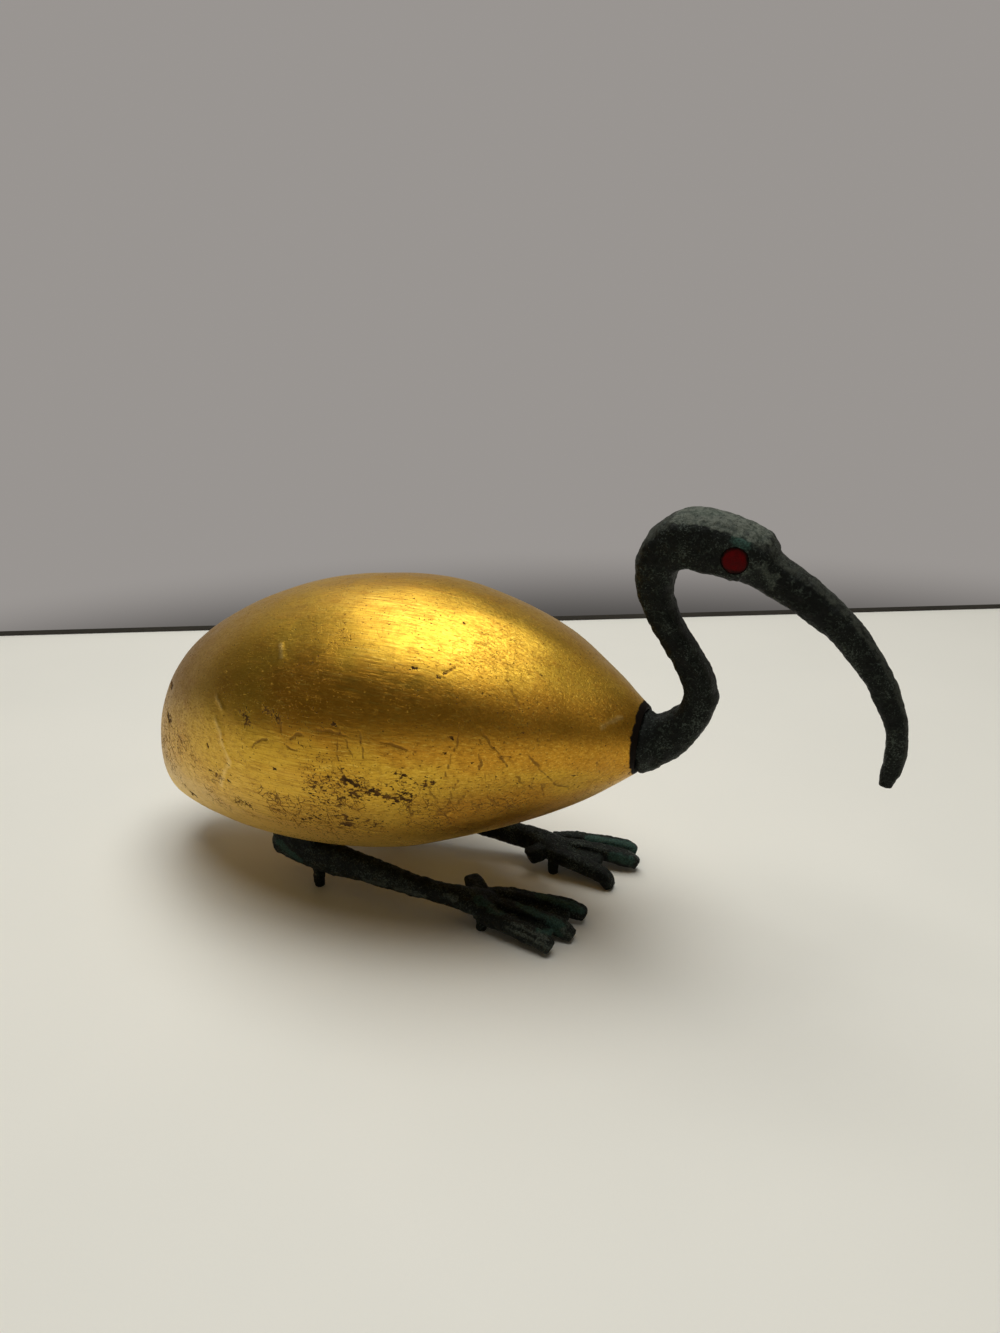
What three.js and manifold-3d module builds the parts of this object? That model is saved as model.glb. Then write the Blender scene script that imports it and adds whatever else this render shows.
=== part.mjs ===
// Ibis figure: a gilded wooden body on two cast bronze legs, with a bronze neck, head and bill in one piece
// and a red inlay for each eye. Sizes are in millimetres and angles in degrees.
// +X is the way the bird faces, +Y is its left side, +Z is up, and the feet stand on z = 0.
import * as THREE from "three";
import { LoftGeometry } from "three/addons/geometries/LoftGeometry.js";
import { mergeVertices } from "three/addons/utils/BufferGeometryUtils.js";
import Module from "manifold-3d";

const wasm = await Module();
wasm.setup();

// Gap between pieces that meet
const seatGap = 0.3;

// Collar of the neck, let into the flat front end of the body a little low, so that a rim stays above it
// and it shows at the sides and below
const collarWidth = 24;
const collarThickness = 3.8;
const collarSink = 1.4;
const collarDrop = 1.4;
const collarSides = 28;
const seatRim = 0.4;

// Body, from the tip of the tail at x = 0
const bodyLength = 221.2;
const bodyHeight = 115;
const bodyWidth = 115;
const shoulderHeight = 84.8;
const tailDome = 4;
const bodyRings = 26;
const bodySides = 38;

// Shares of the body's length along it and above the shoulder, then of its half height and half width
const seatRadius = collarWidth / 2 + seatRim;
const bodyStations = [
  { along: 0.018, rise: -0.181, height: 0.437, width: 0.26 },
  { along: 0.086, rise: -0.13, height: 0.633, width: 0.54 },
  { along: 0.176, rise: -0.095, height: 0.802, width: 0.764 },
  { along: 0.312, rise: -0.062, height: 0.939, width: 0.942 },
  { along: 0.456, rise: -0.039, height: 1, width: 1 },
  { along: 0.592, rise: -0.02, height: 0.969, width: 0.965 },
  { along: 0.719, rise: -0.004, height: 0.844, width: 0.83 },
  { along: 0.837, rise: 0.001, height: 0.649, width: 0.632 },
  { along: 0.927, rise: -0.002, height: 0.43, width: 0.42 },
  { along: 1, rise: 0, height: (2 * seatRadius) / bodyHeight, width: (2 * seatRadius) / bodyWidth },
];

// Flat belly: the angle of its two edges below the horizontal along most of the body and where the flat
// runs out before the collar, and the shares of the length between which it does
const bellyAngle = 59.3;
const bellyFaintAngle = 84.3;
const bellyFade = [0.66, 0.95];
const bellyPoints = 6;

// Neck, head and bill, from the middle of the body's front end
const neckLength = 90;
const headWidthShare = 0.233;
const neckSides = 18;

// Shares of the neck's length forward and up, and of section depth and width. Square is the section's
// exponent, and dome is how far its outer face falls away towards the edges
const neckStations = [
  { forward: 0, up: -0.005, depth: 0.216, width: 0.216, square: 2.4, dome: 0 },
  { forward: 0.049, up: 0, depth: 0.2, width: 0.205, square: 2.6, dome: 0 },
  { forward: 0.116, up: 0.048, depth: 0.178, width: 0.18, square: 2.9, dome: 0 },
  { forward: 0.192, up: 0.134, depth: 0.135, width: 0.145, square: 3.2, dome: 0 },
  { forward: 0.216, up: 0.236, depth: 0.126, width: 0.135, square: 3.4, dome: 0 },
  { forward: 0.179, up: 0.342, depth: 0.119, width: 0.13, square: 3.4, dome: 0 },
  { forward: 0.09, up: 0.474, depth: 0.112, width: 0.128, square: 3.4, dome: 0 },
  { forward: 0.022, up: 0.601, depth: 0.123, width: 0.135, square: 3.4, dome: 0 },
  { forward: 0.004, up: 0.697, depth: 0.15, width: 0.152, square: 3.4, dome: 0.05 },
  { forward: 0.034, up: 0.8, depth: 0.183, width: 0.185, square: 3.6, dome: 0.15 },
  { forward: 0.122, up: 0.866, depth: 0.223, width: 0.215, square: 4.4, dome: 0.3 },
  { forward: 0.237, up: 0.863, depth: 0.23, width: headWidthShare, square: 4, dome: 0.35 },
  { forward: 0.341, up: 0.838, depth: 0.216, width: headWidthShare, square: 4, dome: 0.35 },
  { forward: 0.383, up: 0.814, depth: 0.198, width: 0.215, square: 4, dome: 0.3 },
  { forward: 0.413, up: 0.786, depth: 0.165, width: 0.18, square: 3.4, dome: 0.2 },
  { forward: 0.458, up: 0.756, depth: 0.152, width: 0.15, square: 3, dome: 0.1 },
  { forward: 0.576, up: 0.689, depth: 0.144, width: 0.133, square: 2.5, dome: 0 },
  { forward: 0.709, up: 0.591, depth: 0.127, width: 0.12, square: 2.4, dome: 0 },
  { forward: 0.82, up: 0.469, depth: 0.113, width: 0.104, square: 2.4, dome: 0 },
  { forward: 0.903, up: 0.341, depth: 0.098, width: 0.091, square: 2.4, dome: 0 },
  { forward: 0.958, up: 0.203, depth: 0.083, width: 0.08, square: 2.4, dome: 0 },
  { forward: 0.962, up: 0.069, depth: 0.077, width: 0.071, square: 2.4, dome: 0 },
  { forward: 0.949, up: -0.027, depth: 0.054, width: 0.058, square: 2.5, dome: 0 },
];

// Eyes, round inlays in shallow sockets on both sides of the head, placed in shares of the neck's length
const eyeWidth = 8.8;
const eyeThickness = 2;
const eyeProud = 0.1;
const eyeCrown = 0.5;
const eyeShares = { forward: 0.319, up: 0.828 };
const eyeSides = 18;

// Legs, each from the tang under its hock forward to the tang under its foot
const legSpan = 77;
const hockShare = 0.396;
const tangTopWidth = 5.5;
const tangFootWidth = 4.3;
const hockTangHeight = 11;
const footTangHeight = 9;
const legSides = 12;

// Shares of the leg's span forward and outward, and of height above the ground and section size. Ankle
// stations take the pose's own swelling
const shankStations = [
  { forward: -0.235, out: 0, up: 0.242, height: 0.164, width: 0.117 },
  { forward: -0.1, out: 0, up: 0.221, height: 0.187, width: 0.13 },
  { forward: 0.06, out: 0, up: 0.2, height: 0.182, width: 0.136 },
  { forward: 0.29, out: 0, up: 0.187, height: 0.151, width: 0.123 },
  { forward: 0.52, out: 0, up: 0.168, height: 0.125, width: 0.109 },
  { forward: 0.7, out: 0, up: 0.158, height: 0.107, width: 0.104, ankle: true },
  { forward: 0.86, out: -0.02, up: 0.145, height: 0.107, width: 0.13, ankle: true },
  { forward: 0.97, out: -0.05, up: 0.125, height: 0.099, width: 0.195 },
  { forward: 1.08, out: -0.065, up: 0.1, height: 0.062, width: 0.23 },
  { forward: 1.16, out: -0.07, up: 0.082, height: 0.034, width: 0.23 },
];

// Block that rises from behind the hock to the belly, placed in shares of the leg's span
const riserLength = 21;
const riserWidth = 9.4;
const riserShares = { forward: -0.12, lean: 0.04, up: 0.195 };

// Toes: a straight line from root to tip with a low arch, ending in a blunt claw that turns down
const footLength = 40;
const toeHeight = 6.6;
const toeWidth = 6;
const toeArch = 0.8;
const clawDrop = 1.4;
const toeSides = 8;
const toeStations = [
  { along: 0, height: 0.75, width: 0.75, drop: 0 },
  { along: 0.25, height: 1.02, width: 1, drop: 0 },
  { along: 0.8, height: 0.98, width: 0.98, drop: 0 },
  { along: 0.93, height: 0.86, width: 0.88, drop: 0.3 },
  { along: 1, height: 0.62, width: 0.68, drop: 1 },
];

// Webs between neighbouring toes
const webStart = 0.1;
const webThickness = 2.8;
const webSag = 1.2;

// Each leg's own pose, as it was bent by hand: its distance from the middle as a share of the body's half
// width, its lead as a share of the span, its turn outward, and the swelling of its ankle. Toes are
// shares of the foot's length forward of the foot's tang, outward and above the ground, and webs end at a
// share of their toes' length
const legPoses = [
  {
    name: "right_leg", side: -1, track: 0.386, lead: 0, turn: 1.7, ankle: 0, tangOut: 0,
    toes: [
      { root: [-0.1, -0.275, 0.225], tip: [0.91, -0.525, 0.12] },
      { root: [-0.05, -0.14, 0.215], tip: [0.91, -0.175, 0.105] },
      { root: [-0.06, 0.005, 0.185], tip: [0.785, 0.12, 0.125] },
    ],
    webs: [0.66, 0.8],
    hindToe: { root: [-0.075, -0.225, 0.235], tip: [-0.318, -0.425, 0.22] },
  },
  {
    name: "left_leg", side: 1, track: 0.456, lead: 0.169, turn: 6, ankle: 0.25, tangOut: -0.24,
    toes: [
      { root: [-0.06, -0.22, 0.225], tip: [0.66, -0.37, 0.115] },
      { root: [-0.09, -0.012, 0.215], tip: [0.875, 0.05, 0.12] },
      { root: [-0.1, 0.155, 0.19], tip: [0.815, 0.275, 0.125] },
    ],
    webs: [0.62, 0.8],
    hindToe: { root: [-0.1, -0.2, 0.225], tip: [-0.262, -0.338, 0.205] },
  },
];

const degree = Math.PI / 180;
const sideways = new THREE.Vector3(0, 1, 0);
const upward = new THREE.Vector3(0, 0, 1);

// Angles of the sections that round off an end, from the outermost in
const endAngles = [72, 48, 24];

// Exponents of a plain rounded section and of a nearly square one
const plainSquare = 2.4;
const blockSquare = 5;

// Distance under which points of a surface are one point
const weld = 1e-4;

// Materials
const gold = new THREE.MeshStandardMaterial({ color: 0xc9962e, roughness: 0.32, metalness: 1 });
const bronze = new THREE.MeshStandardMaterial({ color: 0x1f2a24, roughness: 0.7, metalness: 0.4 });
const redInlay = new THREE.MeshStandardMaterial({ color: 0x6e0808, roughness: 0.8, metalness: 0 });

// Smooth value of one column of a station list
function smooth(stations, key, place, at) {
  const last = stations.length - 1;
  const after = stations.findIndex((station) => station[place] >= at);
  const i = THREE.MathUtils.clamp(after - 1, 0, last - 1);
  const slope = (k) => {
    const a = stations[Math.max(k - 1, 0)];
    const b = stations[Math.min(k + 1, last)];
    return (b[key] - a[key]) / (b[place] - a[place]);
  };
  const span = stations[i + 1][place] - stations[i][place];
  const t = (at - stations[i][place]) / span;
  const start = (2 * t ** 3 - 3 * t ** 2 + 1) * stations[i][key];
  const end = (3 * t ** 2 - 2 * t ** 3) * stations[i + 1][key];
  return start + end + span * ((t ** 3 - 2 * t ** 2 + t) * slope(i) + (t ** 3 - t ** 2) * slope(i + 1));
}

// Point of a superellipse section, in shares of its half width and half height, with a domed outer face
function sectionPoint(angle, square, dome) {
  const bend = (value) => Math.sign(value) * Math.abs(value) ** (2 / square);
  const across = bend(Math.cos(angle));
  const rise = bend(Math.sin(angle));
  return [across, rise > 0 ? rise * (1 - dome * across ** 2) : rise];
}

// Loft with both ends capped, counterclockwise sections seen from its end
function loft(sections) {
  return new LoftGeometry(sections, { closed: true, capStart: true, capEnd: true });
}

// Limb along a smooth line through its stations, rounded off over a share of its first and last section
function limb(stations, { sides, across, steps = 2, startRound = 0, endRound = 0 }) {
  const curve = (pointOf) => new THREE.CatmullRomCurve3(stations.map(pointOf), false, "centripetal");
  const line = curve((s) => s.at);
  const size = curve((s) => new THREE.Vector3(s.width / 2, s.height / 2, 0));
  const shape = curve((s) => new THREE.Vector3(s.square ?? plainSquare, s.dome ?? 0, 0));
  const ring = (t, shift, shrink) => {
    const forward = line.getTangent(t);
    const normal = new THREE.Vector3().crossVectors(forward, across).normalize();
    const centre = line.getPoint(t).addScaledVector(forward, shift);
    const half = size.getPoint(t).multiplyScalar(shrink);
    const { x: square, y: dome } = shape.getPoint(t);
    return Array.from({ length: sides }, (_, k) => {
      const [y, z] = sectionPoint((2 * Math.PI * k) / sides, square, dome);
      return centre.clone().addScaledVector(across, y * half.x).addScaledVector(normal, z * half.y);
    });
  };
  const rounded = (t, depth) => endAngles.map((angle) =>
    ring(t, depth * size.getPoint(t).y * Math.sin(angle * degree), Math.cos(angle * degree)));
  const rings = steps * (stations.length - 1);
  const sections = Array.from({ length: rings + 1 }, (_, i) => ring(i / rings, 0, 1));
  if (startRound > 0) sections.unshift(...rounded(0, -startRound));
  if (endRound > 0) sections.push(...rounded(1, endRound).reverse());
  return loft(sections);
}

// Geometry as a solid that can be joined and cut
function solid(geometry) {
  const bare = new THREE.BufferGeometry();
  bare.setAttribute("position", geometry.attributes.position);
  bare.setIndex(geometry.index);
  const merged = mergeVertices(bare, weld);
  return new wasm.Manifold(new wasm.Mesh({
    numProp: 3,
    vertProperties: merged.attributes.position.array,
    triVerts: new Uint32Array(merged.index.array),
  }));
}

function meshOf(made, name, material) {
  const { vertProperties, triVerts } = made.getMesh();
  const geometry = new THREE.BufferGeometry();
  geometry.setAttribute("position", new THREE.BufferAttribute(vertProperties, 3));
  geometry.setIndex(new THREE.BufferAttribute(triVerts, 1));
  geometry.computeVertexNormals();
  const mesh = new THREE.Mesh(geometry, material);
  mesh.name = name;
  return mesh;
}

// Angle below the horizontal of the edges of the flat belly, at a place along the body
function bellyEdge(along) {
  const fade = THREE.MathUtils.smoothstep(along, ...bellyFade);
  return THREE.MathUtils.lerp(bellyAngle, bellyFaintAngle, fade) * degree;
}

// One section of the body: a round back and sides, and a flat belly between two edges
function bodyRing(along, grow, shift = 0, shrink = 1) {
  const value = (key) => smooth(bodyStations, key, "along", along);
  const centreHeight = shoulderHeight + value("rise") * bodyLength;
  const halfWidth = (value("width") * bodyWidth / 2 + grow) * shrink;
  const halfHeight = (value("height") * bodyHeight / 2 + grow) * shrink;
  const edge = bellyEdge(along);
  const backPoints = bodySides - bellyPoints;
  const points = [];
  for (let k = 0; k <= backPoints; k++) {
    const angle = -edge + ((Math.PI + 2 * edge) * k) / backPoints;
    points.push([Math.cos(angle), Math.sin(angle)]);
  }
  for (let k = 1; k < bellyPoints; k++) {
    points.push([-Math.cos(edge) * (1 - (2 * k) / bellyPoints), -Math.sin(edge)]);
  }
  const x = along * bodyLength + shift;
  return points.map(([y, z]) => new THREE.Vector3(x, y * halfWidth, centreHeight + z * halfHeight));
}

// Body, closed behind by a low dome and in front by the flat seat of the collar. Its rings lie closer
// together towards the tail
function bodySolid(grow = 0) {
  const tail = bodyStations[0].along;
  const crowding = 1.35;
  const dome = endAngles.map((angle) =>
    bodyRing(tail, grow, -(tailDome + grow) * Math.sin(angle * degree), Math.cos(angle * degree)));
  const rings = Array.from({ length: bodyRings + 1 }, (_, i) =>
    bodyRing(tail + (1 - tail) * (i / bodyRings) ** crowding, grow));
  return solid(loft([...dome, ...rings]));
}

// Place of a point of the neck or head, given in shares of the neck's length
function neckPoint({ forward, up }) {
  return new THREE.Vector3(bodyLength + forward * neckLength, 0, shoulderHeight + up * neckLength);
}

function neckSolid() {
  const stations = neckStations.map((s) => ({
    ...s, at: neckPoint(s), width: s.width * neckLength, height: s.depth * neckLength,
  }));
  return solid(limb(stations, { sides: neckSides, across: sideways, endRound: 0.5 }));
}

// Round solid about the collar's own axis, from a profile of radius and distance forward of the seat
function aboutCollar(profile) {
  const turned = new THREE.LatheGeometry(profile, collarSides);
  turned.rotateZ(-Math.PI / 2);
  turned.translate(bodyLength - collarSink, 0, shoulderHeight - collarDrop);
  return solid(turned);
}

// Collar: a disc with a rounded rim
function collarSolid() {
  const bead = collarThickness / 2;
  const back = seatGap;
  const flat = collarWidth / 2 - bead;
  const rim = new THREE.Path().absarc(flat, back + bead, bead, -Math.PI / 2, Math.PI / 2).getPoints(4);
  return aboutCollar([new THREE.Vector2(0, back), ...rim, new THREE.Vector2(0, back + collarThickness)]);
}

// Body with the shallow seat that the collar is let into
function gildedBody() {
  const radius = collarWidth / 2 + seatGap;
  const pastFront = 2 * collarSink;
  const seat = aboutCollar([
    new THREE.Vector2(0, 0), new THREE.Vector2(radius, 0),
    new THREE.Vector2(radius, pastFront), new THREE.Vector2(0, pastFront),
  ]);
  return bodySolid().subtract(seat);
}

// Disc that faces out to one side at the eye's place, between two distances from the middle of the head
function eyeDisc(side, radius, from, to, crown = 0) {
  const face = [1, 0.6, 0].map((share) => new THREE.Vector2(radius * share, to - crown * share ** 2));
  const profile = [new THREE.Vector2(0, from), new THREE.Vector2(radius, from), ...face];
  const disc = new THREE.LatheGeometry(profile, eyeSides);
  if (side < 0) disc.rotateX(Math.PI);
  const place = neckPoint(eyeShares);
  disc.translate(place.x, 0, place.z);
  return solid(disc);
}

// Distance of the cheek from the middle of the head
const cheek = (headWidthShare * neckLength) / 2;

function headAndNeck() {
  const socketFloor = cheek - eyeThickness - seatGap;
  const pastCheek = cheek + eyeThickness;
  const socket = (side) => eyeDisc(side, eyeWidth / 2 + seatGap, socketFloor, pastCheek);
  return neckSolid().add(collarSolid()).subtract(socket(1)).subtract(socket(-1));
}

function eye(side) {
  return eyeDisc(side, eyeWidth / 2, cheek - eyeThickness, cheek + eyeProud, eyeCrown);
}

// Place at a distance forward of the hock's tang and outward from the leg's track
function legPoint(pose, forward, out, up) {
  const turn = pose.turn * degree;
  const x = hockShare * bodyLength + pose.lead * legSpan + forward * Math.cos(turn) - out * Math.sin(turn);
  const y = pose.track * bodyWidth / 2 + forward * Math.sin(turn) + out * Math.cos(turn);
  return new THREE.Vector3(x, pose.side * y, up);
}

// Limb of a leg through stations that have their places, level across
function legLimb(stations, options) {
  const run = stations.at(-1).at.clone().sub(stations[0].at).setZ(0).normalize();
  return solid(limb(stations, { across: upward.clone().cross(run), ...options }));
}

function shank(pose) {
  const stations = shankStations.map(({ forward, out, up, height, width, ankle }) => {
    const swell = ankle ? pose.ankle * height : 0;
    return {
      at: legPoint(pose, forward * legSpan, out * legSpan, (up - swell / 2) * legSpan),
      height: (height + swell) * legSpan,
      width: width * legSpan,
    };
  });
  return legLimb(stations, { sides: legSides, startRound: 0.6, endRound: 0.6 });
}

// Place on a toe's line, a share of the way from its root to its tip
function toePoint(pose, toe, along) {
  const [forward, out, up] = toe.root.map((start, k) => THREE.MathUtils.lerp(start, toe.tip[k], along));
  const arch = toeArch * Math.sin(Math.PI * along);
  return legPoint(pose, legSpan + forward * footLength, out * footLength, up * footLength + arch);
}

function toeSolid(pose, toe) {
  const stations = toeStations.map((s) => ({
    at: toePoint(pose, toe, s.along).addScaledVector(upward, -clawDrop * s.drop),
    height: s.height * toeHeight,
    width: s.width * toeWidth,
  }));
  return legLimb(stations, { sides: toeSides, endRound: 0.8 });
}

// Web that joins two neighbouring toes
function webSolid(pose, first, second, end) {
  const stations = [webStart, (webStart + end) / 2, end].map((along) => {
    const inner = toePoint(pose, first, along);
    const outer = toePoint(pose, second, along);
    const at = inner.clone().lerp(outer, 0.5).addScaledVector(upward, -webSag);
    return { at, height: webThickness, width: inner.distanceTo(outer) };
  });
  return legLimb(stations, { sides: toeSides, endRound: 1 });
}

// Short post under a leg, tapering down to its flat foot on the ground
function tang(pose, forward, out, height) {
  const post = new THREE.CylinderGeometry(tangTopWidth / 2, tangFootWidth / 2, height, legSides);
  post.rotateX(Math.PI / 2);
  const place = legPoint(pose, forward, out, height / 2);
  post.translate(place.x, place.y, place.z);
  return solid(post);
}

function riser(pose) {
  const { forward, lean, up } = riserShares;
  const foot = legPoint(pose, forward * legSpan, 0, up * legSpan);
  const top = legPoint(pose, (forward - lean) * legSpan, 0, shoulderHeight);
  const section = { height: riserLength, width: riserWidth, square: blockSquare };
  const stations = [foot, top].map((at) => ({ at, ...section }));
  const run = legPoint(pose, legSpan, 0, 0).sub(legPoint(pose, 0, 0, 0)).normalize();
  return solid(limb(stations, { steps: 1, sides: legSides, across: upward.clone().cross(run) }));
}

function leg(pose) {
  const toes = [...pose.toes, pose.hindToe].map((toe) => toeSolid(pose, toe));
  const webs = pose.webs.map((end, k) => webSolid(pose, pose.toes[k], pose.toes[k + 1], end));
  const hockTang = tang(pose, 0, 0, hockTangHeight);
  const footTang = tang(pose, legSpan, pose.tangOut * footLength, footTangHeight);
  return [...webs, ...toes, hockTang, footTang, riser(pose)]
    .reduce((sum, piece) => sum.add(piece), shank(pose))
    .subtract(bodySolid(seatGap));
}

const figure = new THREE.Group();
figure.add(meshOf(gildedBody(), "body", gold));
figure.add(meshOf(headAndNeck(), "head_and_neck", bronze));
legPoses.forEach((pose) => figure.add(meshOf(leg(pose), pose.name, bronze)));
figure.add(meshOf(eye(-1), "right_eye", redInlay), meshOf(eye(1), "left_eye", redInlay));

// The origin lies on the ground under the middle of the figure
const reach = new THREE.Box3().setFromObject(figure);
figure.position.set(-(reach.min.x + reach.max.x) / 2, -(reach.min.y + reach.max.y) / 2, -reach.min.z);

export default figure;
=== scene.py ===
# Ibis figure, dressed: the gilded body, the cast bronze neck, head, bill and legs, and the red inlays of the
# eyes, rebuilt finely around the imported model. Lengths are in millimetres in the making, and in metres in the
# scene. +X is the way the bird faces, +Y is its left side, +Z is up, and the feet stand on z = 0.
import math
from functools import partial, reduce

import bpy
import numpy as np
from mathutils import Matrix, Vector
from mathutils.bvhtree import BVHTree
from mathutils.kdtree import KDTree


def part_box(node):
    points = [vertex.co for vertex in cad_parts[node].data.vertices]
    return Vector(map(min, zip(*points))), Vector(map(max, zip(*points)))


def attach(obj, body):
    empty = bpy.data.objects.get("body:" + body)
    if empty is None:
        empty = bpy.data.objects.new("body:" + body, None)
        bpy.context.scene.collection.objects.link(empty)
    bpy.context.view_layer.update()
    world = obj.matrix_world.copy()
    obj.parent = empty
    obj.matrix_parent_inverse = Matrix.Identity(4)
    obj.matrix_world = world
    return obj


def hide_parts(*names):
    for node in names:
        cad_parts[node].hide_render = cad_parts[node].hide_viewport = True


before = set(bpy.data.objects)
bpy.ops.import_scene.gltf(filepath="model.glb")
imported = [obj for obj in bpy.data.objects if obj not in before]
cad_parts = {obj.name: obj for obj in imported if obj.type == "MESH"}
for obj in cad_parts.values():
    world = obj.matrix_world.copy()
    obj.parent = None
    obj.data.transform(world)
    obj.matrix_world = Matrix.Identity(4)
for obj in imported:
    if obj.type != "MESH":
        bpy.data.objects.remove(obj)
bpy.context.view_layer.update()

MM = 0.001

# Collar of the neck and its seat in the body
seat_gap = 0.3
collar_width = 24
collar_thickness = 3.8
collar_sink = 1.4
collar_drop = 1.4
seat_rim = 0.4

# Radius of the last ring at the middle of a round end
tip_radius = 0.02

# Body, from the tip of the tail at x = 0
body_length = 221.2
body_height = 115
body_width = 115
shoulder_height = 84.8
tail_dome = 4
tail_dome_start = math.radians(13)
tail_dome_end = math.radians(87)

# Place along the body, then rise of the middle above the shoulder as a share of the length, and shares of
# the half height and half width
seat_radius = collar_width / 2 + seat_rim
body_stations = np.array([
    (0.018, -0.181, 0.437, 0.26),
    (0.086, -0.13, 0.633, 0.54),
    (0.176, -0.095, 0.802, 0.764),
    (0.312, -0.062, 0.939, 0.942),
    (0.456, -0.039, 1, 1),
    (0.592, -0.02, 0.969, 0.965),
    (0.719, -0.004, 0.844, 0.83),
    (0.837, 0.001, 0.649, 0.632),
    (0.927, -0.002, 0.43, 0.42),
    (1, 0, 2 * seat_radius / body_height, 2 * seat_radius / body_width),
])

collar_centre = (body_length - collar_sink, 0, shoulder_height - collar_drop)

# Swelling of the neck's root out of the collar: radius and distance from the collar's back
root_profile = [(tip_radius, 2), (11.4, 2), (11.2, 4), (10.4, 5.5), (9.5, 7), (8.6, 8.5), (tip_radius, 8.5)]

# Soft shoulders: angle from the top in degrees where each starts, is fullest and ends, its swell as a share
# of the half height, and how much more it swells in front. A run is two places along the body.
shoulder_turn = (22, 74, 119)
shoulder_swell = 0.062
shoulder_run = (8, 85)
shoulder_front = 0.8
shoulder_front_run = (110, 180)
# Angle by which they lie higher at the rear
shoulder_rear_turn = 24
shoulder_rear_run = (105, 20)
# Share by which the body is narrower under them, which ends before the neck
body_slim = 0.032
body_slim_end = (180, 214)
# Length before the neck over which the uneven wood comes to rest
calm_length = 12

# Angle of the edges of the flat belly below the horizontal, and where it runs out along the body
belly_angle = 59.3
belly_faint_angle = 84.3
belly_fade = (0.66, 0.95)
# Worn leaf on those edges: its reach in mm and the run where it ends
edge_wear = (0.3, 2.2)
edge_wear_end = (140, 190)

# Neck, head and bill, in shares of the neck's length: forward, up, depth, width, then the section's
# exponent and how far its outer face falls away towards the edges
neck_length = 90
head_width_share = 0.233
cheek = head_width_share * neck_length / 2
neck_stations = np.array([
    (0, -0.005, 0.216, 0.216, 2.4, 0),
    (0.049, 0, 0.2, 0.205, 2.6, 0),
    (0.116, 0.048, 0.178, 0.18, 2.9, 0),
    (0.192, 0.134, 0.135, 0.145, 3.2, 0),
    (0.216, 0.236, 0.126, 0.135, 3.4, 0),
    (0.179, 0.342, 0.119, 0.13, 3.4, 0),
    (0.09, 0.474, 0.112, 0.128, 3.4, 0),
    (0.022, 0.601, 0.123, 0.135, 3.4, 0),
    (0.004, 0.697, 0.15, 0.152, 3.4, 0.05),
    (0.034, 0.8, 0.183, 0.185, 3.6, 0.15),
    (0.122, 0.866, 0.223, 0.215, 4.4, 0.3),
    (0.237, 0.863, 0.23, head_width_share, 4, 0.35),
    (0.341, 0.838, 0.216, head_width_share, 4, 0.35),
    (0.383, 0.814, 0.198, 0.215, 4, 0.3),
    (0.413, 0.786, 0.165, 0.18, 3.4, 0.2),
    (0.458, 0.756, 0.152, 0.15, 3, 0.1),
    (0.576, 0.689, 0.144, 0.133, 2.5, 0),
    (0.709, 0.591, 0.127, 0.12, 2.4, 0),
    (0.82, 0.469, 0.113, 0.104, 2.4, 0),
    (0.903, 0.341, 0.098, 0.091, 2.4, 0),
    (0.958, 0.203, 0.083, 0.08, 2.4, 0),
    (0.962, 0.069, 0.077, 0.071, 2.4, 0),
    (0.949, -0.027, 0.054, 0.058, 2.5, 0),
])

# Eyes, in shares of the neck's length from the middle of the body's front end
eye_width = 8.8
eye_thickness = 2
eye_proud = 0.1
eye_crown = 0.5
eye_place = (0.319, 0.828)
eye_face = (1, 0.92, 0.82, 0.7, 0.55, 0.4, 0.25, 0.1, 0.02)
eye_rim = (0.55, 0.98)

# Legs, each from the tang under its hock forward to the tang under its foot
leg_span = 77
hock_share = 0.396
tang_top_width = 5.5
tang_foot_width = 4.3
hock_tang_height = 11
foot_tang_height = 9

# Shares of the leg's span: forward, outward, up, height, width, and the ankle's part in its swelling
shank_stations = np.array([
    (-0.235, 0, 0.242, 0.164, 0.117, 0),
    (-0.1, 0, 0.221, 0.187, 0.13, 0),
    (0.06, 0, 0.2, 0.182, 0.136, 0),
    (0.29, 0, 0.187, 0.151, 0.123, 0),
    (0.52, 0, 0.168, 0.125, 0.109, 0),
    (0.7, 0, 0.158, 0.107, 0.104, 1),
    (0.86, -0.02, 0.145, 0.107, 0.13, 1),
    (0.97, -0.05, 0.125, 0.099, 0.195, 0),
    (1.08, -0.065, 0.1, 0.062, 0.23, 0),
    (1.16, -0.07, 0.082, 0.034, 0.23, 0),
])

# How far each end of a limb is rounded, as a share of its half height there, and where its rings stand
neck_round = 0.15
shank_round = 0.6
round_angles = np.radians(np.arange(84, 0, -12))

# Block up to the belly
riser_length = 21
riser_width = 9.4
riser_forward = -0.12
riser_lean = 0.04
riser_square = 5
riser_up = 0.195

# Toes: place along, height, width and drop of the claw
foot_length = 40
toe_height = 6.6
toe_width = 6
toe_square = 3.6
hind_toe_square = 6
toe_round = 0.35
hind_toe_round = 0.05
toe_arch = 0.8
claw_drop = 1.4
toe_stations = np.array([
    (0, 0.75, 0.75, 0),
    (0.25, 1.02, 1, 0),
    (0.8, 1, 1.06, 0),
    (0.93, 0.94, 1.04, 0.3),
    (1, 0.72, 0.86, 1),
])

web_start = 0.1
web_thickness = 3.4
web_sag = 0.5

# Seeded unevenness: number of waves, spread of their lengths, and each surface's seeds, lengths and heights
wave_count = 40
wave_spread = (0.75, 1.5)
body_waves = [(3, 46, 0.22), (4, 17, 0.07)]
head_waves = [(11, 11, 0.16), (12, 4.5, 0.1), (13, 2, 0.06)]
root_waves = [(14, 6, 0.16)]
root_waves_end = (body_length + 6, body_length + 16)
leg_waves = [(20, 8, 0.14), (30, 3.5, 0.1), (40, 1.7, 0.06)]
eye_waves = [(61, 4, 0.25)]
# Height over the table in which the legs' waves set in
foot_calm = (0.4, 2)

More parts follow.
